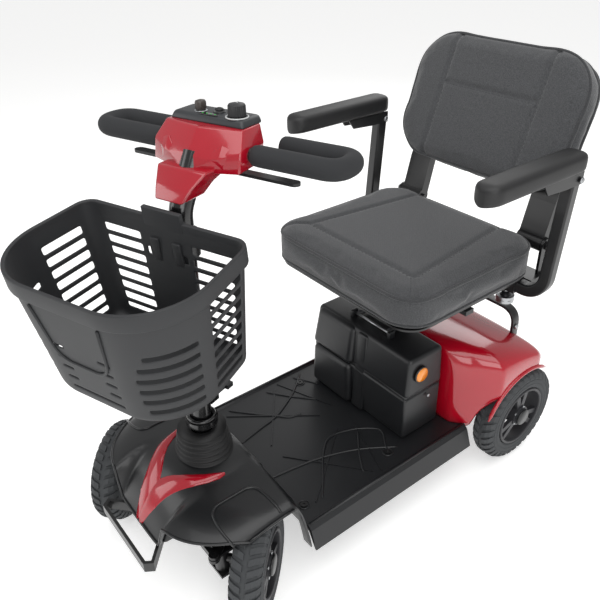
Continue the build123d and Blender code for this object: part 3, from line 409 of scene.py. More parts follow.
# ---- front shroud --------------------------------------------------------------------------------
# One injection moulding in black ABS: a dome round the steering column, a nose between the
# wheels and a mudguard over each wheel. It screws to the floor pan and the axle beam.
# A finer mould texture: smooth satin black with wide highlights.
abs_gloss = finish("black_abs_satin", "#131415", 0.33, 0.8, 0.02, coat=0.1, second="#17181a")


def slab(x0, x1, y0, y1, z0, z1, lean=0.0, pull=0.0):
    """A box whose front leans back and whose sides draw in towards the top."""
    return [(x0, y0, z0), (x1, y0, z0), (x1, y1, z0), (x0, y1, z0),
            (x0 + pull, y0 + lean, z1), (x1 - pull, y0 + lean, z1), (x1 - pull, y1, z1), (x0 + pull, y1,
            z1)], \
        [(3, 2, 1, 0), (4, 5, 6, 7)] + grid(2, 4)


def shroud_z(x, y):
    """The height of the shroud's skin over a point of the floor."""
    u = min(1.0, abs(x) / 0.21)
    front = -0.436 + (0.045 * (u / 0.8) ** 4)
    wall = max(0.0, min(1.0, (abs(x) - 0.072) / 0.026))
    low = 0.146 + 0.0612 * wall * wall * (3 - 2 * wall)
    top = 0.2345 - 0.016 * u * u + 0.010 * max(0.0, 1 - ((x / 0.085) ** 2 + ((y + 0.284) / 0.1) ** 2))
    s = max(0.0, min(1.0, (y - front) / 0.105))
    z = low + (top - low) * (1 - (1 - s) ** 2.3)
    fall = max(0.0, min(1.0, (y + 0.228) / 0.036))
    foot = 0.127 if abs(x) < 0.188 else 0.086
    z -= (z - foot) * fall ** 1.8
    return z - 0.006 * max(0.0, (u - 0.9) / 0.1) ** 2 * (1 - fall)


across, along = 84, 64
verts = []
for i in range(along + 1):
    for k in range(across + 1):
        u = 2 * k / across - 1
        x = 0.21 * (u * 0.75 + 0.25 * u ** 3)
        front = -0.436 + 0.045 * (abs(x) / 0.168) ** 4
        y = front + (-0.192 - front) * i / along
        verts.append((x, y, shroud_z(x, y)))
faces = grid(along + 1, across + 1, False)
shroud = piece("shroud_dome", verts, faces, abs_gloss, "chassis", "black_abs", replaces=["front_shroud"])
if shroud.data.polygons[len(faces) // 2].normal.z < 0:
    shroud.data.flip_normals()
thicken(shroud, 0.003)
soften(piece("shroud_nose", *slab(-0.080, 0.080, -0.428, -0.20, 0.144, 0.200, 0.03, 0.004), abs_gloss,
             "chassis", "black_abs"), 0.01, 4)
rim_line = []
for k in range(61):
    x = 0.21 * sin(pi / 2 * (2 * k / 60 - 1))
    y = -0.436 + 0.045 * (abs(x) / 0.168) ** 4
    rim_line.append((x, y + 0.001, shroud_z(x, y) + 0.0004))
rim_line = [(-0.2095, y, shroud_z(0.2095, y)) for y in (-0.23, -0.25, -0.28, -0.31)] + rim_line + \
    [(0.2095, y, shroud_z(0.2095, y)) for y in (-0.31, -0.28, -0.25, -0.23)]
piece("shroud_edge_bead", *pipe(rim_line, 0.0026, 10), abs_gloss, "chassis", "black_abs")

# Each mudguard carries a raised rib in the outline of a U, and a rolled lower edge.
for side, name in ((-1, "left"), (1, "right")):
    arc = [(side * 0.203, -0.352, 0), (side * 0.168, -0.358, 0), (side * 0.128, -0.352, 0),
           (side * 0.128, -0.262, 0),
           (side * 0.168, -0.254, 0), (side * 0.203, -0.254, 0)]
    path = []
    for p in rounded_path(arc, 0.03, 8):
        path.append((p.x, p.y, shroud_z(p.x, p.y) + 0.0006))
    piece("mudguard_rib_" + name, *pipe(path, 0.0026, 10), abs_gloss, "chassis", "black_abs")

# ---- accent on the nose --------------------------------------------------------------------------
# A clip-on trim in red ABS, polished and lacquered. It spreads in a Y from the bumper to the dome.
# Clear lacquer over red: sharp highlights on a deep colour.
red_gloss = finish("red_abs_lacquered", "#a3061c", 0.16, 1.5, 0.006, coat=0.7, second="#ad0a22")
for side, name in ((-1, "left"), (1, "right")):
    spine = [(0.000, -0.4355, 0.008), (0.003, -0.428, 0.014), (0.006, -0.414, 0.019), (0.012, -0.398, 0.022),
             (0.024, -0.382, 0.019), (0.040, -0.364, 0.015), (0.056, -0.344, 0.0125), (0.068, -0.322, 0.010),
             (0.076, -0.300, 0.007), (0.079, -0.288, 0.002)]
    v = []
    steps = (len(spine) - 1) * 4
    for i in range(steps + 1):
        n, t = min(i // 4, len(spine) - 2), i / 4 - min(i // 4, len(spine) - 2)
        x, y, w = [spine[n][m] * (1 - t) + spine[n + 1][m] * t for m in range(3)]
        run = Vector((spine[n + 1][0] - spine[n][0], spine[n + 1][1] - spine[n][1])).normalized()
        for k in range(9):
            j = k / 4 - 1
            px, py = x + run.y * w * j, y - run.x * w * j
            v.append((side * px, py, shroud_z(px, py) + 0.0003 + 0.0052 * (1 - abs(j) ** 1.6)))
    trim = piece("nose_trim_" + name, v, grid(steps + 1, 9, False), red_gloss, "chassis", "red_gloss_abs",
                 replaces=["shroud_accent"] if side > 0 else ())
    if sum(q.normal.z for q in trim.data.polygons) < 0:
        trim.data.flip_normals()
    thicken(trim, 0.003, 0.0, 1)

# ---- tyres ---------------------------------------------------------------------------------------
# Foam-filled tyres in dark grey rubber: a rounded carcass with slanting tread blocks across
# each shoulder and zigzag grooves round the middle. Each is stretched over its rim.
# Moulded rubber: almost matt, a dusty dark grey.
rubber = finish("tyre_rubber_moulded", "#37393b", 0.78, 0.6, 0.05, second="#404244")
turned = Matrix.Rotation(radians(40), 4, "Z")
wheel_list = []
for side, name in ((-1, "left"), (1, "right")):
    at = Matrix.Translation((side * 0.132, -0.342, 0.102)) @ turned @ Matrix.Translation((side * 0.068, 0, 0))
    wheel_list.append(("front", name, side, at, 0.102, 0.058))
    wheel_list.append(("rear", name, side, Matrix.Translation((side * 0.225, 0.381, 0.114)), 0.114, 0.052))
for end, name, side, at, r, w in wheel_list:
    body = f"{end}_wheel_{name}"
    seat = 0.62 * r
    base = r - 0.0045
    half = w / 2
    outline = [(-half * 0.8, seat), (-half, seat + 0.006), (-half, base - 0.016),
               (-half * 0.86, base - 0.006),
               (-half * 0.52, base), (0, base + 0.0008), (half * 0.52, base), (half * 0.86, base - 0.006),
               (half, base - 0.016), (half, seat + 0.006), (half * 0.8, seat)]
    rounds = 72
    verts, faces = [], []
    for k in range(rounds):
        a = 2 * pi * k / rounds
        verts += [(x, ro * sin(a), ro * cos(a)) for x, ro in outline]
    n = len(outline)
    for k in range(rounds):
        for i in range(n):
            j, m = (k + 1) % rounds, (i + 1) % n
            faces.append((k * n + i, k * n + m, j * n + m, j * n + i))
    tyre = piece(f"{end}_tyre_carcass_{name}", verts, faces, rubber, body, "tyre_rubber", place=at,
                 replaces=[f"{end}_tyre_{name}"])
    soften(tyre, 0.0015)
    blocks = 34
    lug_v, lug_f = [], []
    for s in (-1, 1):
        rows = [(0.16, -0.35), (0.52, 0.1), (0.84, 0.5), (0.985, 0.8)]
        for k, (share, lean) in enumerate(rows):
            radius = (r, r - 0.0004, r - 0.0058, r - 0.0145)[k]
            for across in (-0.31, 0.31):
                lug_v.append((s * half * share, radius, across, lean))
    step = 2 * pi / blocks
    shape_v, shape_f = [], []
    for s in range(2):
        first = len(shape_v)
        for x, radius, across, lean in lug_v[s * 8:(s + 1) * 8]:
            a = (across + lean * 0.55 + (0.5 if s else 0)) * step
            for depth in (0, 0.0068):
                ro = radius - depth
                shape_v.append((x, ro * sin(a), ro * cos(a)))
        for i in range(3):
            p = first + i * 4
            shape_f += [(p, p + 2, p + 6, p + 4), (p + 1, p + 5, p + 7, p + 3), (p, p + 4, p + 5, p + 1),
                        (p + 2, p + 3, p + 7, p + 6)]
        p = first
        shape_f += [(p, p + 1, p + 3, p + 2), (p + 12, p + 14, p + 15, p + 13)]
    lugs = repeat(f"{end}_tread_{name}", (shape_v, shape_f),
                  [((0, 0, 0), (2 * pi * k / blocks, 0, 0)) for k in range(blocks)],
                  rubber, body)
    lugs.data.transform(at)
    outward(lugs.data)
    for face in lugs.data.polygons:
        face.use_smooth = False
    soften(lugs, 0.0008, 2, 40)
    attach(lugs, body)
    # two thin bead lines stand on each sidewall
    for line, radius in enumerate((0.74, 0.82)):
        ro = r * radius
        path = [(side * (half - 0.0003), ro * sin(2 * pi * k / 64), ro * cos(2 * pi * k / 64))
                for k in range(64)]
        piece(f"{end}_bead_{name}_{line}", *pipe(path, 0.0011, 8, True), rubber, body, "tyre_rubber",
              place=at)

# ---- rims ----------------------------------------------------------------------------------------
# Glass-filled nylon rims, moulded in one piece with three pairs of spokes, and closed by a
# push-in hub cap. Five steel screws join the two halves round the hub.
# Glass fibre at the surface leaves it a little rough and greyish.
rim_nylon = finish("glass_filled_nylon", "#2b2b2e", 0.46, 0.9, 0.05, second="#333336")
dress([f"{e}_rim_{s}" for e in ("front", "rear") for s in ("left", "right")], rim_nylon)
for end, name, side, at, r, w in wheel_list:
    body = f"{end}_wheel_{name}"
    seat = 0.62 * r
    path = [(side * (w / 2 - 0.0028), (seat - 0.002) * sin(2 * pi * k / 64),
             (seat - 0.002) * cos(2 * pi * k / 64))
            for k in range(64)]
    piece(f"{end}_rim_lip_{name}", *pipe(path, 0.0034, 10, True), rim_nylon, body, "rim_nylon", place=at)
    v, f = disc(0.0195, 0.005, 40, 0.35)
    cap_place = at @ Matrix.Translation((side * 0.0272, 0, 0)) @ Matrix.Rotation(side * pi / 2, 4, "Y")
    piece(f"{end}_hub_cap_{name}", v, f, abs_gloss, body, "black_abs", place=cap_place)
    screws = repeat(f"{end}_rim_screws_{name}", disc(0.0032, 0.0022, 12),
                    [((0.0228 * cos(2 * pi * k / 5 + 0.3), 0.0228 * sin(2 * pi * k / 5 + 0.3), 0), (0, 0, 0))
                     for k in range(5)], zinc, body)
    screws.data.transform(at @ Matrix.Translation((side * (w / 2 - 0.0045), 0, 0))
                          @ Matrix.Rotation(side * pi / 2, 4, "Y"))
    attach(screws, body)
dress(["anti_tip_wheels"], rubber)

# ---- rear cover ----------------------------------------------------------------------------------
# One large moulding in red ABS under clear lacquer. It closes the motor bay and arches over
# each rear wheel, and clips to the floor pan at its front edge.

def sections(rows, across=40, power=0.42):
    """A skin through sections (y, half width, low edge, top, crown): each is a soft-cornered arch."""
    verts = []
    for y, half, low, top, crown in rows:
        for k in range(across + 1):
            a = pi * k / across
            c, s = cos(a), sin(a)
            x = half * (abs(c) ** power) * (1 if c >= 0 else -1)
            z = low + (top - low) * abs(s) ** power + crown * max(0.0, 1 - (x / half) ** 2) * (s > 0)
            verts.append((x, y, z))
    return verts, grid(len(rows), across + 1, False)


rows = []
for i in range(45):
    t = i / 44
    y = 0.224 + 0.24 * t
    half = 0.157 + 0.088 * min(1.0, t / 0.30) ** 0.8 if t < 0.8 else 0.245 - 0.036 * ((t - 0.8) / 0.2) ** 2
    top = 0.312 - 0.052 * t ** 2 - (0.052 * ((t - 0.84) / 0.16) ** 2 if t > 0.84 else 0)
    dy = y - 0.381
    arch = 0.114 + sqrt(max(0.0, 0.1235 ** 2 - dy * dy)) if abs(dy) < 0.1235 else 0.118
    rows.append((y, half, min(max(0.118, arch), top - 0.012), top, 0.007))
v, f = sections(rows, 56, 0.30)
wide = 57
last = 44 * wide
low_line = []
for k in range(wide):
    x, y, _ = v[last + k]
    low_line.append((x * 0.985, y + 0.001, 0.136))
f += [(last + k, last + k + 1, len(v) + k + 1, len(v) + k) for k in range(wide - 1)]
v += low_line
f.append(tuple(range(wide)))
rear_shell = piece("rear_cover_shell", v, f, red_gloss, "chassis", "red_gloss_abs", replaces=["rear_cover"])
thicken(rear_shell, 0.003, 0.0, 1)
# a rolled lip runs round each wheel arch, and a moulded acrylic reflector glows a deep red on each corner
red_lens = finish("red_acrylic_reflector", "#8d0714", 0.12, 2.4, 0.3, coat=0.8)
for side, name in ((-1, "left"), (1, "right")):
    path = []
    for k in range(25):
        a = radians(8 + 164 * k / 24)
        path.append((side * 0.2445, 0.381 - 0.1245 * cos(a), 0.114 + 0.1245 * sin(a)))
    path = [p for p in path if 0.262 < p[1] < 0.462]
    piece("arch_lip_" + name, *pipe(path, [0.002] + [0.0042] * (len(path) - 2) + [0.002], 12), red_gloss,
          "chassis", "red_gloss_abs")
    soften(piece("rear_reflector_" + name, *slab(side * 0.150 - 0.030, side * 0.150 + 0.030, 0.4655, 0.4705,
                                                 0.178, 0.200), red_lens, "chassis", "red_gloss_abs"), 0.0015)

# ---- grab handle ---------------------------------------------------------------------------------
# A flat steel bar bent to a U and powder coated, bolted through the cover for lifting the rear.
dress(["grab_handle"], powder_coat)
bar_path = rounded_path([(-0.165, 0.428, 0.262), (-0.165, 0.428, 0.336), (0.165, 0.428, 0.336),
                         (0.165, 0.428, 0.262)],
                        0.036, 8)
bar_v = []
for i, p in enumerate(bar_path):
    way = (bar_path[min(i + 1, len(bar_path) - 1)] - bar_path[max(i - 1, 0)]).normalized()
    across = Vector((0, 1, 0))
    out = way.cross(across)
    bar_v += [p + out * 0.003 * a + across * 0.011 * b for a, b in ((-1, -1), (1, -1), (1, 1), (-1, 1))]
bar_f = grid(len(bar_path), 4) + [(3, 2, 1, 0), tuple(len(bar_path) * 4 - 4 + k for k in range(4))]
grab = piece("grab_bar", bar_v, bar_f, powder_coat, "chassis", "black_powder_coat", replaces=["grab_handle"])
soften(grab, 0.0012)
# a domed bolt with a washer stands on each foot of the bar
repeat("grab_bolts", disc(0.0065, 0.004, 20, 0.4),
       [((side * 0.1685, 0.428, 0.296), (0, side * pi / 2, 0))
        for side in (-1, 1)], zinc, "chassis")

# ---- battery box ---------------------------------------------------------------------------------
# Two black ABS mouldings, a tray and a lid, screwed together round a parting line. The front
# has a proud rounded hump beside a narrow pillar, and the ends carry amber reflectors.
soften(piece("battery_tray_shell", *slab(-0.147, 0.147, 0.106, 0.213, 0.132, 0.2375, -0.0015, 0.0), abs_grain,
             "battery", "black_abs", replaces=["battery_case"]), 0.007, 5)
soften(piece("battery_lid_shell", *slab(-0.150, 0.150, 0.1045, 0.213, 0.2400, 0.3305, 0.012, 0.005),
             abs_grain, "battery", "black_abs", replaces=["battery_lid"]), 0.010, 6)
piece("battery_parting_seal", *slab(-0.145, 0.145, 0.1085, 0.211, 0.236, 0.242), abs_grain, "battery",
      "black_abs")
for name, front, low_z, high_z, lean_y in (("low", 0.0905, 0.133, 0.2375, 0.002),
                                           ("high", 0.0905 + 0.002, 0.2400, 0.3285, 0.016)):
    hump = slab(-0.142, -0.014, front, 0.150, low_z, high_z, lean_y, 0.004)
    soften(piece("battery_hump_" + name, *hump, abs_grain, "battery", "black_abs"), 0.012, 6)
soften(piece("battery_pillar", *slab(-0.012, 0.024, 0.0985, 0.150, 0.133, 0.3265, 0.013, 0.003), abs_grain,
             "battery", "black_abs"), 0.005, 4)
repeat("battery_screws", disc(0.0042, 0.0022, 16), [((side * 0.152, 0.170, 0.224), (0, side * pi / 2, 0))
                                                    for side in (-1, 1)],
       zinc, "battery")
dress(["battery_cells"], finish("battery_wrap_grey", "#4a4d52", 0.5))

# ---- charging socket -----------------------------------------------------------------------------
# A round three-pin inlet in black nylon, pressed into the left end of the lid, with brass pins.
# Turned metal: yellow and bright.
brass = finish("turned_brass", "#b08d3c", 0.25, 0.5, 0.01, metal=1.0)
profile = [(0.0081, -0.010), (0.0081, 0.0002), (0.0095, 0.0012), (0.0125, 0.0012), (0.0142, -0.0004),
           (0.0142, -0.006)]
at = Matrix.Translation((-0.152, 0.190, 0.293)) @ Matrix.Rotation(-pi / 2, 4, "Y")
sides = 40
v = [(r * cos(2 * pi * k / sides), r * sin(2 * pi * k / sides), z) for r, z in profile for k in range(sides)]
f = grid(len(profile), sides) + [tuple(range(sides))]
piece("charging_inlet", v, f, abs_gloss, "battery", "black_abs", place=at)
repeat("charging_pins", disc(0.0012, 0.009, 12),
       [((-0.1425, 0.190 + 0.004 * cos(a), 0.293 + 0.004 * sin(a)), (0, -pi / 2, 0))
        for a in (0.5, 2.6, 4.7)],
       brass, "battery")

# ---- side reflectors -----------------------------------------------------------------------------
# Amber acrylic discs with a prismatic back, in a black ring, bonded to the ends of the lid.
# Smooth acrylic: a glossy, slightly uneven orange.
amber = finish("amber_acrylic_reflector", "#f09a0c", 0.12, 2.6, 0.35, coat=0.9, second="#e2780a")
for side, name in ((-1, "left"), (1, "right")):
    at = Matrix.Translation((side * 0.1495, 0.144, 0.291)) @ Matrix.Rotation(side * pi / 2, 4, "Y")
    piece("side_lens_" + name, *disc(0.0165, 0.0058, 48, 0.35), amber, "battery", "amber_lens", place=at,
                 replaces=["side_reflectors"] if side > 0 else ())
    piece("side_lens_ring_" + name, *hoop(0.0172, 0.002, 0.0022, 48, 10), abs_gloss, "battery", "black_abs",
          place=at)

# ---- battery handle ------------------------------------------------------------------------------
# A moulded nylon loop that folds flat on the lid, on a steel pin between two lugs.
loop = rounded_path([(-0.046, 0.146, 0.340), (-0.046, 0.19, 0.340), (0.046, 0.19, 0.340),
                     (0.046, 0.146, 0.340)], 0.016)
piece("battery_loop", *pipe(loop, 0.0052, 14), rim_nylon, "battery_handle", "rim_nylon",
      replaces=["battery_handle"])
piece("battery_handle_pin", *pipe([(-0.058, 0.146, 0.340), (0.058, 0.146, 0.340)], 0.003, 12), zinc,
      "battery", "zinc_steel")
for side, name in ((-1, "left"), (1, "right")):
    soften(piece("battery_lug_" + name, *slab(side * 0.057 - 0.004, side * 0.057 + 0.004, 0.137, 0.155, 0.328,
                                              0.347), abs_grain, "battery", "black_abs"), 0.002)

# ---- bellows -------------------------------------------------------------------------------------
# A black rubber gaiter of six folds round the foot of the column. It is clipped in the dome
# below and gripped by a collar above.
stem_y, points = -0.284, 64
# Soft rubber: a low, blurred sheen on each fold.
gaiter_rubber = finish("black_rubber_gaiter", "#111112", 0.55, 0.6, 0.03)
profile = []
for i in range(61):
    t = i / 60
    r = 0.058 - 0.012 * t - 0.0052 * (0.5 - 0.5 * cos(2 * pi * 6 * t)) ** 0.8
    profile.append((r, 0.229 + 0.063 * t))
profile += [(0.024, 0.2925), (0.021, 0.2925), (0.021, 0.289), (0.040, 0.288)]
v = [(r * cos(2 * pi * k / points), r * sin(2 * pi * k / points) + stem_y, z)
     for r, z in profile for k in range(points)]
f = grid(len(profile), points)
gaiter = bpy.data.meshes.new("gaiter")
gaiter.from_pydata(v, [], f)
gaiter.materials.append(gaiter_rubber)
gaiter_obj = bpy.data.objects.new("gaiter", gaiter)
scene.collection.objects.link(gaiter_obj)
outward(gaiter)
for face in gaiter.polygons:
    face.use_smooth = True
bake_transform(gaiter_obj)
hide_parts("bellows")

# ---- column and handlebar ------------------------------------------------------------------------
# Round steel tube, bent back at the top, with the closed handlebar welded through it. The
# collar at its foot holds the gaiter, and a moulded lever behind it frees the tilt.
# Gloss powder: nearly a mirror, with a slight ripple.
column_gloss = finish("black_gloss_powder_on_steel", "#0e0e0f", 0.2, 1.4, 0.02, coat=0.4)
dress(["column_tube"], column_gloss)
dress(["tilt_lever", "throttle_lever"], abs_grain)
pivot_z, bar_turn, bar_lean = 0.205, 20, -1.6   # tilt pivot, and how far the bar stands turned and leaning
upright = (Matrix.Translation((0, stem_y, pivot_z)) @ Matrix.Rotation(radians(bar_turn), 4, "Z")
           @ Matrix.Rotation(radians(bar_lean), 4, "X") @ Matrix.Translation((0, 0, -pivot_z)))
piece("column_collar_ring", *hoop(0.0235, 0.318, 0.004, 48, 10), column_gloss, "tiller", "black_powder_coat",
      place=upright)

# ---- foam grips ----------------------------------------------------------------------------------
# Closed-cell foam sleeves pushed over the tube while wet with air. Their inner ends are round.
# Open skin of cut cells, drawn about 1 mm across: fully matt.
foam = finish("closed_cell_foam", "#242527", 0.92, 1.1, 0.22, second="#2b2c2e")
for side, name in ((-1, "left"), (1, "right")):
    corners = [(side * 0.087, 0.078, 0.802), (side * 0.234, 0.078, 0.802), (side * 0.234, 0.138, 0.802),
               (side * 0.100, 0.138, 0.802)]
    path = rounded_path(corners, 0.029, 10)
    start = [Vector(corners[0]) + Vector((side * d, 0, 0)) for d in (0.0, 0.002, 0.006, 0.012)]
    end = [Vector(corners[3]) + Vector((side * d, 0, 0)) for d in (0.016, 0.010, 0.004, 0.001, 0.0)]
    path = start + path[1:-1] + end
    radii = [0.012, 0.0152, 0.0162, 0.0166] + [0.0166] * (len(path) - 9) + [0.0166, 0.0164, 0.0158, 0.0142,
            0.0105]
    piece("foam_grip_" + name, *pipe(path, radii, 28), foam, "tiller", "foam_grip", place=upright,
          replaces=["grips"] if side > 0 else ())

# ---- head cowl -----------------------------------------------------------------------------------
# Two red ABS halves under clear lacquer round the top of the column: a faceted arrow-shaped body
# and a tapering neck. Screws from behind hold them together.
# Fine metal flake under lacquer, drawn at 0.35 mm so that it shows.
red_metallic = finish("red_abs_metallic_lacquer", "#97051a", 0.18, 0.35, 0.004, coat=0.8, second="#a50a20")
body = [(0, 0.018, 0.777), (0.084, 0.044, 0.780), (0.078, 0.112, 0.780), (-0.078, 0.112, 0.780),
        (-0.084, 0.044, 0.780),
        (0, 0.028, 0.804), (0.0850, 0.050, 0.812), (0.080, 0.117, 0.812), (-0.080, 0.117, 0.812), (-0.0850,
            0.050, 0.812),
        (0, 0.056, 0.8385), (0.074, 0.070, 0.8385), (0.071, 0.121, 0.8385), (-0.071, 0.121, 0.8385), (-0.074,
            0.070, 0.8385),
        (0.040, 0.032, 0.800), (-0.040, 0.032, 0.800)]
sides = [(0, 1, 15), (0, 15, 5), (1, 6, 15), (5, 15, 10), (15, 11, 10), (15, 6, 11),
         (0, 16, 4), (0, 5, 16), (4, 16, 9), (5, 10, 16), (16, 10, 14), (16, 14, 9),
         (1, 2, 7, 6), (6, 7, 12, 11), (2, 3, 8, 7), (7, 8, 13, 12), (3, 4, 9, 8), (8, 9, 14, 13),
         (4, 3, 2, 1, 0), (10, 11, 12, 13, 14)]
cowl = piece("cowl_body", body, sides, red_metallic, "tiller", "red_gloss_abs", smooth=True, place=upright,
             replaces=["head_cowl"])
soften(cowl, 0.0028, 4, 8)
for side, name in ((-1, "left"), (1, "right")):
    facet = [(side * x, y, z) for x, y, z in ((0.022, 0.0285, 0.796), (0.052, 0.0480, 0.820),
                                              (0.080, 0.0500, 0.809),
                                              (0.060, 0.0370, 0.785), (0.052, 0.0345, 0.802), (0.050, 0.066,
            0.800))]
    f = [(0, 1, 4), (1, 2, 4), (2, 3, 4), (3, 0, 4), (1, 0, 5), (2, 1, 5), (3, 2, 5), (0, 3, 5)]
    soften(piece("cowl_facet_" + name, facet, f, red_metallic, "tiller", "red_gloss_abs",
                 place=upright), 0.0012, 3, 5)
neck = [(x * a, y, z) for a, y0, y1, z in ((0.027, -0.026, 0.028, 0.744), (0.034, -0.014, 0.046, 0.762),
                                           (0.048, 0.010, 0.092, 0.786)) for x, y in ((-1, y0), (1, y0),
            (1, y1), (-1, y1))]
f = [(3, 2, 1, 0), (8, 9, 10, 11)] + grid(3, 4)
soften(piece("cowl_neck", neck, f, red_metallic, "tiller", "red_gloss_abs", place=upright), 0.004, 4, 8)
repeat("cowl_screws", disc(0.0032, 0.0016, 14),
       [(upright @ Vector((x, 0.1225, 0.796)), (-pi / 2, 0, radians(bar_turn))) for x in (-0.055, 0.055)],
       zinc, "tiller")

# ---- console -------------------------------------------------------------------------------------
# A dark grey moulded panel snapped into the top of the cowl, with a lens over four charge lamps.
# Fine mould texture: satin dark grey.
console_grey = finish("console_grey_abs", "#26282b", 0.42, 0.5, 0.04, second="#2c2e31")
soften(piece("console_panel", *slab(-0.072, 0.072, 0.074, 0.128, 0.8375, 0.8500, 0.006, 0.006), console_grey,
             "tiller", "black_abs", place=upright, replaces=["console"]), 0.005, 4)
soften(piece("console_back", *slab(-0.064, 0.064, 0.110, 0.1365, 0.786, 0.834, 0.0, 0.004), console_grey,
             "tiller", "black_abs", place=upright), 0.004, 4)
# Polished acrylic: black and mirror smooth.
smoke = finish("smoked_acrylic_lens", "#08090b", 0.08, 3, 0.002, coat=0.8)
soften(piece("charge_window", *slab(-0.018, 0.018, 0.081, 0.090, 0.8495, 0.8508), smoke, "tiller",
             "black_abs", place=upright), 0.0005)
# Moulded green epoxy, unlit.
lamp_green = finish("green_lamp", "#2f9a3c", 0.3)
repeat("charge_lamps", disc(0.0016, 0.0008, 12), [(upright @ Vector((-0.012 + 0.008 * k, 0.0855, 0.8506)),
                                                   (0, 0, 0))
                                                 for k in range(4)], lamp_green, "tiller")


def turned_piece(name, profile, at, mat, body, slot_name, sides=48, flutes=0, depth=0.0, replaces=()):
    """A round piece turned from a (radius, height) profile, with flutes cut in its wide part."""
    verts = []
    for r, z in profile:
        for k in range(sides):
            a = 2 * pi * k / sides
            cut = depth * max(0, cos(flutes * a)) if flutes and r > 0.7 * max(p[0] for p in profile) else 0
            verts.append(((r - cut) * cos(a), (r - cut) * sin(a), z))
    faces = grid(len(profile), sides)
    faces += [tuple(range(sides)), tuple(range((len(profile) - 1) * sides, len(profile) * sides))]
    return piece(name, verts, faces, mat, body, slot_name, place=at, replaces=replaces)


# ---- speed dial, key and horn button -------------------------------------------------------------
# A fluted dial pressed on a potentiometer, inside a pale printed ring; a key with a round plastic
# head; and a domed rubber horn button.
# Screen-printed ink: flat pale grey.
pale_ring = finish("pale_printed_ring", "#b9bbbb", 0.5)
at = upright @ Matrix.Translation((0.046, 0.096, 0.850))
piece("dial_scale_ring", *hoop(0.0172, 0.0002, 0.0012, 56), pale_ring, "tiller", "black_abs", place=at)
turned_piece("dial_knob", [(0.0138, 0.0004), (0.0142, 0.002), (0.0138, 0.017), (0.0122, 0.0196),
                           (0.003, 0.0202)],
                    at, abs_grain, "speed_dial", "black_abs", 144, 24, 0.0011, ["speed_dial"])
piece("dial_pointer", *slab(-0.0008, 0.0008, 0.004, 0.0118, 0.0196, 0.0207), pale_ring, "speed_dial",
      "black_abs", place=at @ Matrix.Rotation(radians(25), 4, "Z"))
at = upright @ Matrix.Translation((-0.026, 0.098, 0.850))
# Moulded nylon: brownish, half matt.
key_plastic = finish("key_head_plastic", "#3d3733", 0.4, 0.6, 0.03)
turned_piece("key_head", [(0.0075, 0.0006), (0.009, 0.003), (0.009, 0.0125), (0.0078, 0.0155),
                          (0.002, 0.0163)], at,
             key_plastic, "key", "key_plastic", 48, 2, 0.002, ["key"])
turned_piece("key_barrel", [(0.0105, -0.001), (0.0105, 0.0004), (0.0098, 0.0009), (0.004, 0.0009)], at, zinc,
             "tiller", "zinc_steel")
at = upright @ Matrix.Translation((0.006, 0.104, 0.850))
turned_piece("horn_dome", [(0.0068, 0.0028), (0.0070, 0.0042), (0.0062, 0.0058), (0.004, 0.0068),
                           (0.001, 0.0071)], at,
             gaiter_rubber, "horn_button", "black_abs", 40, replaces=["horn_button"])
turned_piece("horn_bezel", [(0.0098, -0.001), (0.0098, 0.001), (0.0088, 0.0018), (0.0079, 0.001)], at,
             abs_gloss, "tiller", "black_abs", 40)

# ---- basket --------------------------------------------------------------------------------------
# A tapered tub in dark grey polypropylene with a deep rim. Its walls are moulded with level slots,
# its front has a plain shield, and two hooks on its back drop over the bracket.
# Waxy moulded plastic: dull, with a fine sparkle.
polypropylene = finish("dark_grey_polypropylene", "#232426", 0.58, 0.55, 0.06, second="#28292b")
tub = upright @ Matrix.Translation((0, -0.039, 0.722)) @ Matrix.Rotation(radians(8.2), 4, "X")
corners = [((-0.161, 0), 0.025), ((0.161, 0), 0.025), ((0.178, -0.216), 0.105), ((-0.178, -0.216), 0.105)]
plan = []
for i, (c, r) in enumerate(corners):
    c = Vector(c)
    a, b = (Vector(corners[i - 1][0]) - c).normalized(), (Vector(corners[(i + 1) % 4][0]) - c).normalized()
    half = a.angle(b) / 2
    reach = r / (sin(half) / cos(half))
    centre = c + (a + b).normalized() * (r / sin(half))
    p, q = c + a * reach - centre, c + b * reach - centre
    for k in range(17):
        t = k / 16
        plan.append(centre + (p * (1 - t) + q * t).normalized() * r)
lengths = [0.0]
for i in range(len(plan)):
    lengths.append(lengths[-1] + (plan[(i + 1) % len(plan)] - plan[i]).length)
columns = 164
line = []
for k in range(columns):
    want = lengths[-1] * k / columns
    i = max(j for j in range(len(plan)) if lengths[j] <= want)
    span = lengths[i + 1] - lengths[i]
    t = (want - lengths[i]) / span if span else 0
    line.append(plan[i] * (1 - t) + plan[(i + 1) % len(plan)] * t)
levels = 46
tall = 0.217
verts, faces = [], []
for i in range(levels + 7):
    if i <= levels:
        z = -0.004 - (tall - 0.020) * i / levels
        share, draw = 1 - (1 - 0.862) * -z / tall, 0.0
    else:
        a = (i - levels) / 6 * pi / 2
        z = -tall + 0.016 * (1 - sin(a))
        share, draw = 0.862 + (1 - 0.862) * 0.016 / tall * (1 - sin(a)), 0.016 * (1 - cos(a))
    for p in line:
        x, y = p.x * share, -0.108 + (p.y + 0.108) * share
        pull = 1 - draw / 0.12
        verts.append((x * pull, -0.108 + (y + 0.108) * pull, z))


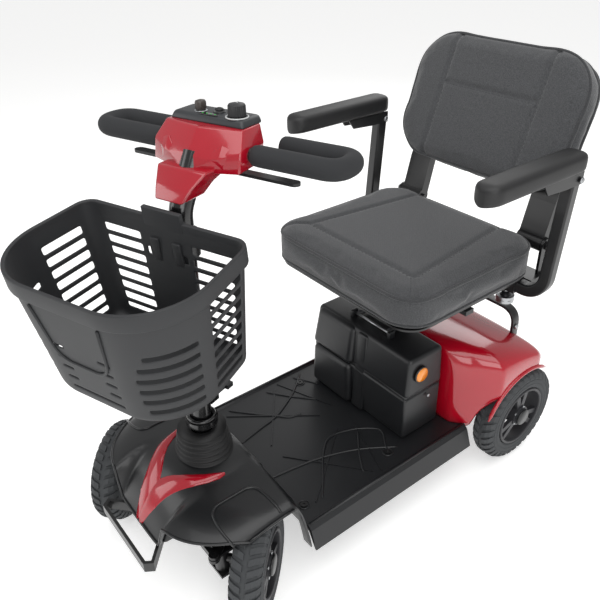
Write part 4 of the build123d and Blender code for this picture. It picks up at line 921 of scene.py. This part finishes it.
def slotted(p, row):
    """Whether the wall is open at this place on the plan and this row of cells."""
    if row < 6 or row > levels - 3 or (row - 6) % 5 in (0, 4):
        return False
    step = (row - 6) // 5
    if p.y > -0.006:
        return 0.056 < abs(p.x) < 0.134 or (0.020 < abs(p.x) < 0.042 and step == 1)
    if p.y < -0.209:
        inner = 0.034 if 2 < step < 7 else -1.0 if step == 7 else 1.0
        return (row - 6) % 5 == 2 and inner < abs(p.x) < 0.060
    if abs(p.x) > 0.150 and p.y > -0.122:
        return -0.108 < p.y < -0.030
    if (row - 6) % 5 == 3 or step in (0, 1):
        return False
    return p.y < -0.134 and abs(p.x) > (0.135 - 0.009 * step if step < 7 else 0.110)


for i in range(levels + 6):
    for k in range(columns):
        n = (k + 1) % columns
        middle = (line[k] + line[n]) / 2
        if i < levels and slotted(middle, i):
            continue
        faces.append((i * columns + k, (i + 1) * columns + k, (i + 1) * columns + n, i * columns + n))
first = (levels + 6) * columns
for ring_no, share in enumerate((0.72, 0.4, 0.12)):
    verts += [(verts[first + k][0] * share, -0.108 + (verts[first + k][1] + 0.108) * share, -tall)
              for k in range(columns)]
    a = first + (ring_no and ring_no * columns)
    faces += [(a + k, a + columns + k, a + columns + (k + 1) % columns, a + (k + 1) % columns)
              for k in range(columns)]
faces.append(tuple(first + 3 * columns + k for k in range(columns)))
walls = piece("basket_walls", verts, faces, polypropylene, "basket", "dark_grey_pp", place=tub,
              replaces=["basket"])
thicken(walls, 0.0026, 0.0, 1)
band = [(-0.0035, 0.0), (-0.0015, 0.0018), (0.0020, 0.0018), (0.0030, 0.0002), (0.0030, -0.0240),
        (0.0022, -0.0262),
        (-0.0002, -0.0262), (-0.0034, -0.0250)]
verts, faces = [], []
for k, p in enumerate(line):
    way = (line[(k + 1) % columns] - line[k - 1]).normalized()
    out = Vector((way.y, -way.x))
    if out.dot(p - Vector((0, -0.108))) < 0:
        out = -out
    verts += [(p.x + out.x * o, p.y + out.y * o, z) for o, z in band]
for k in range(columns):
    n = (k + 1) % columns
    faces += [(k * 8 + i, k * 8 + (i + 1) % 8, n * 8 + (i + 1) % 8, n * 8 + i) for i in range(8)]
rim = piece("basket_rim", verts, faces, polypropylene, "basket", "dark_grey_pp", place=tub)
soften(rim, 0.0009, 2, 25)
# the shield's U-shaped step on the front, and the solid plate behind the hooks
step = [(-0.066, -0.2175, -0.034), (-0.050, -0.2105, -0.130), (0.050, -0.2105, -0.130),
        (0.066, -0.2175, -0.034)]
path = []
for p in rounded_path(step, 0.03, 8):
    share = 1 - 0.138 * -p.z / tall
    path.append((p.x, -0.108 - 0.108 * share - 0.0008, p.z))
piece("basket_shield_step", *pipe(path, 0.0024, 10), polypropylene, "basket", "dark_grey_pp", place=tub)
soften(piece("basket_back_plate", *slab(-0.044, 0.044, -0.0005, 0.0035, -0.150, 0.016, -0.004, 0.006),
             polypropylene, "basket", "dark_grey_pp", place=tub), 0.0015, 3)
for side, name in ((-1, "left"), (1, "right")):
    soften(piece("basket_hook_" + name, *slab(side * 0.022 - 0.008, side * 0.022 + 0.008, -0.009, -0.003,
                                              -0.075, -0.035), polypropylene, "basket", "dark_grey_pp",
                 place=tub), 0.0015)

# ---- seat cover and foam -------------------------------------------------------------------------
# Cut foam under a sewn cover of heathered grey polyester. The cover is cut in panels, its top edge
# is piped, and it is pulled over the seat pan and stapled below.


def weave(name, dark, light):
    """A heathered plain weave, matt and flecked. Yarns 0.9 mm apart are drawn about 3 mm apart, to show."""
    mat = bpy.data.materials.new(name)
    mat.use_nodes = True
    tree = mat.node_tree
    tree.nodes.clear()
    out = node(tree, "ShaderNodeOutputMaterial")
    place = node(tree, "ShaderNodeTexCoord").outputs["Object"]
    yarns = []
    for axis in ("X", "DIAGONAL"):
        wave = node(tree, "ShaderNodeTexWave", [("Vector", place)], bands_direction=axis, Scale=110.0,
                    Distortion=1.6)
        wave.inputs["Detail Scale"].default_value = 2.0
        yarns.append(wave.outputs["Fac"])
    cross = node(tree, "ShaderNodeMath", [(0, yarns[0]), (1, yarns[1])], operation="MULTIPLY")
    fleck = node(tree, "ShaderNodeTexNoise", [("Vector", place)], Scale=1400.0, Detail=2.0)
    cloud = node(tree, "ShaderNodeTexNoise", [("Vector", place)], Scale=420.0, Detail=4.0)
    both = node(tree, "ShaderNodeMath", [(0, fleck.outputs["Fac"]), (1, cloud.outputs["Fac"])],
                operation="ADD")
    blend = node(tree, "ShaderNodeMapRange", [("Value", both.outputs["Value"])])
    blend.inputs["From Min"].default_value = 0.72
    blend.inputs["From Max"].default_value = 1.28
    mix = node(tree, "ShaderNodeMix", [(0, blend.outputs["Result"])], data_type="RGBA")
    mix.inputs[6].default_value = colour(dark)
    mix.inputs[7].default_value = colour(light)
    high = node(tree, "ShaderNodeMath", [(0, cross.outputs["Value"]), (1, fleck.outputs["Fac"])],
                operation="ADD")
    bump = node(tree, "ShaderNodeBump", [("Height", high.outputs["Value"])], Strength=0.7, Distance=0.0004)
    cloth = node(tree, "ShaderNodeBsdfPrincipled", [("Base Color", mix.outputs[2]),
                                                    ("Normal", bump.outputs["Normal"])],
                 Roughness=0.92)
    cloth.inputs["Sheen Weight"].default_value = 0.25
    cloth.inputs["Sheen Roughness"].default_value = 0.5
    tree.links.new(cloth.outputs[0], out.inputs["Surface"])
    return mat


heather = weave("heathered_grey_polyester", "#2b2c2e", "#4b4c4e")
piping_cloth = weave("grey_piping_polyester", "#232426", "#3d3e40")


def stuffed(name, source, shrink, cap, swell):
    """A sewn cushion blown up from a slightly smaller copy of its engineering block."""
    mesh = cad[source].data.copy()
    obj = bpy.data.objects.new(name, mesh)
    scene.collection.objects.link(obj)
    made = bmesh.new()
    made.from_mesh(mesh)
    bmesh.ops.remove_doubles(made, verts=made.verts, dist=0.0001)
    made.to_mesh(mesh)
    made.free()
    low = Vector([min(v.co[i] for v in mesh.vertices) for i in range(3)])
    high = Vector([max(v.co[i] for v in mesh.vertices) for i in range(3)])
    centre = (low + high) / 2
    for v in mesh.vertices:
        for i in range(3):
            v.co[i] = centre[i] + (v.co[i] - centre[i]) * (1 - shrink / max(high[i] - low[i], 0.01) * 2)
    remesh = obj.modifiers.new("remesh", "REMESH")
    remesh.mode = "VOXEL"
    remesh.voxel_size = 0.006
    bake(obj)
    rest = [v.co.copy() for v in obj.data.vertices]
    normals = [v.normal.copy() for v in obj.data.vertices]
    cloth = obj.modifiers.new("cloth", "CLOTH")
    cloth.settings.use_pressure = True
    cloth.settings.uniform_pressure_force = swell
    cloth.settings.effector_weights.gravity = 0
    for step in range(1, 21):
        scene.frame_set(step)
    bake(obj)
    scene.frame_set(1)
    for v, was, normal in zip(obj.data.vertices, rest, normals):
        move = v.co - was
        if move.length > cap:
            move *= cap / move.length
        v.co = was + move + normal * shrink * 0.8
    return obj


def bake(obj):
    """Applies every modifier to the mesh."""
    mesh = bpy.data.meshes.new_from_object(obj.evaluated_get(bpy.context.evaluated_depsgraph_get()))
    obj.modifiers.clear()
    obj.data = mesh


def sewn(obj, seams, depth, width, out):
    """Draws the cover in along each seam, on the side that faces out."""
    normals = [v.normal.copy() for v in obj.data.vertices]
    for v, normal in zip(obj.data.vertices, normals):
        if normal.dot(out) < 0.35:
            continue
        near = 1.0
        for a, b in seams:
            run = b - a
            t = max(0.0, min(1.0, (v.co - a).dot(run) / run.length_squared))
            gap = v.co - a - run * t
            gap -= out * gap.dot(out)
            near = min(near, gap.length)
        v.co -= normal * depth * 2.718 ** (-(near / width) ** 2)


def cover(obj, mat, body, node_name, seams, out):
    """Finishes a cushion: one smoothing level, its seams, its cloth, and its place on the scooter."""
    smooth = obj.modifiers.new("smooth", "SUBSURF")
    smooth.levels = smooth.render_levels = 1
    bake(obj)
    sewn(obj, seams, 0.0045, 0.0055, out)
    obj.data.materials.clear()
    obj.data.materials.append(mat)
    for face in obj.data.polygons:
        face.use_smooth = True
    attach(obj, body)
    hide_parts(node_name)


def on_cushion(obj, points, lift):
    """The points moved to the nearest place on the cushion, and lifted a little."""
    found = []
    for p in points:
        _, spot, normal, _ = obj.closest_point_on_mesh(p)
        found.append(spot + normal * lift)
    for _ in range(3):
        found = [(found[i - 1] + found[i] * 2 + found[(i + 1) % len(found)]) / 4
                 if 0 < i < len(found) - 1 else found[i]
                 for i in range(len(found))]
    return found


def stitches(name, path, mat, body, long=0.0042):
    """Thread stitches laid along a path."""
    places, run = [], 0.0
    for a, b in zip(path, path[1:]):
        way = b - a
        run += way.length
        if run > long * 1.7:
            run = 0.0
            turn = way.to_track_quat("X", "Z").to_euler()
            places.append((tuple((a + b) / 2), tuple(turn)))
    repeat(name, pipe([(-long / 2, 0, -0.0003), (0, 0, 0.0004), (long / 2, 0, -0.0003)], 0.00045, 6), places,
           mat, body)


# Bonded polyester thread: half matt.
thread = finish("dark_grey_bonded_thread", "#2f3134", 0.7)
seat_pad = stuffed("seat_pad", "seat_cushion", 0.009, 0.004, 1.5)
top_z = 0.534
seat_seams = [(Vector((-0.150, 0.100, top_z)), Vector((0.150, 0.100, top_z))),
              (Vector((-0.150, 0.100, top_z)), Vector((-0.112, 0.400, top_z))),
              (Vector((0.150, 0.100, top_z)), Vector((0.112, 0.400, top_z))),
              (Vector((-0.150, 0.100, top_z)), Vector((-0.200, 0.050, top_z))),
              (Vector((0.150, 0.100, top_z)), Vector((0.200, 0.050, top_z)))]
cover(seat_pad, heather, "seat", "seat_cushion", seat_seams, Vector((0, 0, 1)))


def closely(loop):
    """The same closed run with a point every 6 mm or less."""
    fine = []
    for a, b in zip(loop, loop[1:] + loop[:1]):
        n = max(1, int((b - a).length / 0.006))
        fine += [a + (b - a) * k / n for k in range(n)]
    return fine


def edge_loop(half_x, y0, y1, radius, z, steps=10):
    """A round-cornered rectangle as a closed run of points."""
    return closely(rounded_path([(-half_x, y0, z), (half_x, y0, z), (half_x, y1, z), (-half_x, y1, z)],
                                radius, steps, True))


for name, z in (("top", 0.524), ("bottom", 0.4615)):
    loop = on_cushion(seat_pad, edge_loop(0.212, 0.031, 0.411, 0.06, z), 0.0008)
    piece("seat_piping_" + name, *pipe(loop, 0.0032, 10, True), piping_cloth, "seat", "grey_fabric")
for i, (a, b) in enumerate(seat_seams):
    shift = (b - a).normalized().cross(Vector((0, 0, 1))) * 0.0065
    run = on_cushion(seat_pad, [a + shift + (b - a) * k / 60 for k in range(61)], 0.0003)
    stitches(f"seat_stitches_{i}", run, thread, "seat")

# ---- backrest ------------------------------------------------------------------------------------
# The same cloth and foam on a black moulded shell. Two upright seams and one level seam divide its
# face, and piping runs round its front and rear edges.
lean = Matrix.Translation((0, 0.432, 0.510)) @ Matrix.Rotation(radians(-22), 4, "X")
face_out = (lean.to_3x3() @ Vector((0, -1, 0))).normalized()


def on_back(x, z, y=-0.084):
    """A point on the backrest, x across and z up from the hinge."""
    return lean @ Vector((x, y, z))


back_pad = stuffed("back_pad", "back_cushion", 0.008, 0.004, 1.5)
back_seams = [(on_back(-0.118, 0.095), on_back(-0.118, 0.360)),
              (on_back(0.118, 0.095), on_back(0.118, 0.360)),
              (on_back(-0.118, 0.256), on_back(0.118, 0.256))]
cover(back_pad, heather, "backrest", "back_cushion", back_seams, face_out)


def back_loop(inset, y):
    """The outline of the backrest at a depth, drawn in by inset."""
    low, high, half, r = 0.089 + inset, 0.362 - inset, 0.212 - inset, 0.085
    loop = rounded_path([(-half, y, low), (half, y, low), (half, y, high), (-half, y, high)], r * 1.15, 12,
                        True)
    return [lean @ p for p in closely(loop)]


for name, y in (("front", -0.0735), ("rear", -0.031)):
    piece("back_piping_" + name, *pipe(on_cushion(back_pad, back_loop(0.001, y), 0.0008), 0.0032, 10, True),
          piping_cloth, "backrest", "grey_fabric")
for i, (a, b) in enumerate(back_seams):
    shift = (b - a).normalized().cross(face_out) * 0.0065
    run = on_cushion(back_pad, [a + shift + (b - a) * k / 60 for k in range(61)], 0.0003)
    stitches(f"back_stitches_{i}", run, thread, "backrest")
outline = rounded_path([(-0.204, 0, 0.097), (0.204, 0, 0.097), (0.204, 0, 0.354), (-0.204, 0, 0.354)], 0.088,
                       12, True)
n = len(outline)
v = [(p.x, -0.0235, p.z) for p in outline] + [(p.x, -0.0185, p.z) for p in outline] \
    + [(p.x * 0.93, -0.0165, 0.2255 + (p.z - 0.2255) * 0.9) for p in outline]
f = [tuple(range(n)), tuple(range(2 * n, 3 * n))] + grid(3, n)
soften(piece("back_shell_cover", v, f, abs_grain, "backrest", "black_abs", place=lean,
             replaces=["back_shell"]), 0.0015, 3, 20)
repeat("back_shell_screws", disc(0.005, 0.002, 16),
       [(tuple(lean @ Vector((side * 0.14, -0.0165, z))), tuple((lean.to_3x3()
                                                                 @ Matrix.Rotation(-pi / 2, 3,
            "X")).to_euler()))
        for side in (-1, 1) for z in (0.14, 0.31)], zinc, "backrest")

# ---- backrest hinges -----------------------------------------------------------------------------
# Pressed steel plates at both rear corners of the seat, powder coated. A zinc-plated shoulder bolt
# joins each pair and lets the backrest fold forward.
dress(["seat_brackets", "back_brackets"], powder_coat)
hex_head = [(0.0075, 0.0), (0.0075, 0.0045), (0.0066, 0.0054)]
v = [(r * cos(2 * pi * k / 6), r * sin(2 * pi * k / 6), z) for r, z in hex_head for k in range(6)]
f = grid(3, 6) + [tuple(reversed(range(6))), tuple(range(12, 18))]
repeat("hinge_bolts", (v, f), [((side * 0.2098, 0.432, 0.510), (0, side * pi / 2, 0)) for side in (-1, 1)],
       zinc, "backrest")

# ---- armrests ------------------------------------------------------------------------------------
# Square steel tube slides into the seat frame and is held by a moulded knob. A pressed bracket
# carries each pad of self-skinned polyurethane foam and lets it flip up.
dress(["arm_rail_left", "arm_rail_right", "arm_bracket_left", "arm_bracket_right"], powder_coat)
knob_profile = [(0.012, 0.0), (0.018, 0.002), (0.0192, 0.007), (0.017, 0.012), (0.009, 0.015), (0.008, 0.021)]
# The skin copies a grained mould: satin black with a soft highlight.
skin_foam = finish("self_skinned_polyurethane", "#161617", 0.5, 1.3, 0.12, second="#1a1a1b")
for side, name in ((-1, "left"), (1, "right")):
    low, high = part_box("arm_pad_" + name)
    rows = 40
    length, wide, tall = high[1] - low[1], (high[0] - low[0]) / 2 - 0.0005, high[2] - low[2] - 0.001
    v = []
    for i in range(rows + 1):
        t = i / rows
        y = low[1] + 0.0005 + (length - 0.001) * (0.5 - 0.5 * cos(pi * t))
        from_end = min(y - low[1], high[1] - y)
        w = wide * sqrt(max(0.0006, 1 - (1 - min(1, from_end / wide)) ** 2))
        h = tall * (0.62 + 0.38 * sqrt(max(0.0, 1 - (1 - min(1, from_end / 0.022)) ** 2)))
        for k in range(32):
            a = 2 * pi * k / 32
            c, s = cos(a), sin(a)
            x = w * abs(c) ** 0.55 * (1 if c >= 0 else -1)
            z = h * (0.5 + 0.5 * abs(s) ** 0.5 * (1 if s >= 0 else -1))
            v.append((side * 0.252 + x, y, low[2] + 0.0005 + z
                      + (0.0012 * (1 - (x / wide) ** 2) if s > 0 else 0)))
    f = grid(rows + 1, 32) + [tuple(range(32)), tuple(range(rows * 32, rows * 32 + 32))]
    pad = piece("arm_foam_" + name, v, f, skin_foam, "arm_pad_" + name, "soft_pu",
                replaces=["arm_pad_" + name])
    soft = pad.modifiers.new("smooth", "SUBSURF")
    soft.levels = soft.render_levels = 1
    bolts = [((side * 0.252 + e * 0.0190, 0.3904, 0.682), (0, e * pi / 2, 0)) for e in (-1, 1)]
    repeat("arm_bolts_" + name, (disc(0.006, 0.0035, 20, 0.4)), bolts, zinc, "arm_pad_" + name)
    low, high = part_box("arm_knob_" + name)
    at = Matrix.Translation(((low[0] + high[0]) / 2, 0.369, low[2]))
    turned_piece("arm_knob_grip_" + name, knob_profile, at, abs_grain, "arm_knob_" + name, "black_abs", 96, 8,
                 0.0022)
    dress(["arm_knob_" + name], zinc)

# ---- swivel lever --------------------------------------------------------------------------------
# A steel strip with a moulded grip. It lifts the pin that locks the seat to its post.
dress(["swivel_lever"], abs_grain)
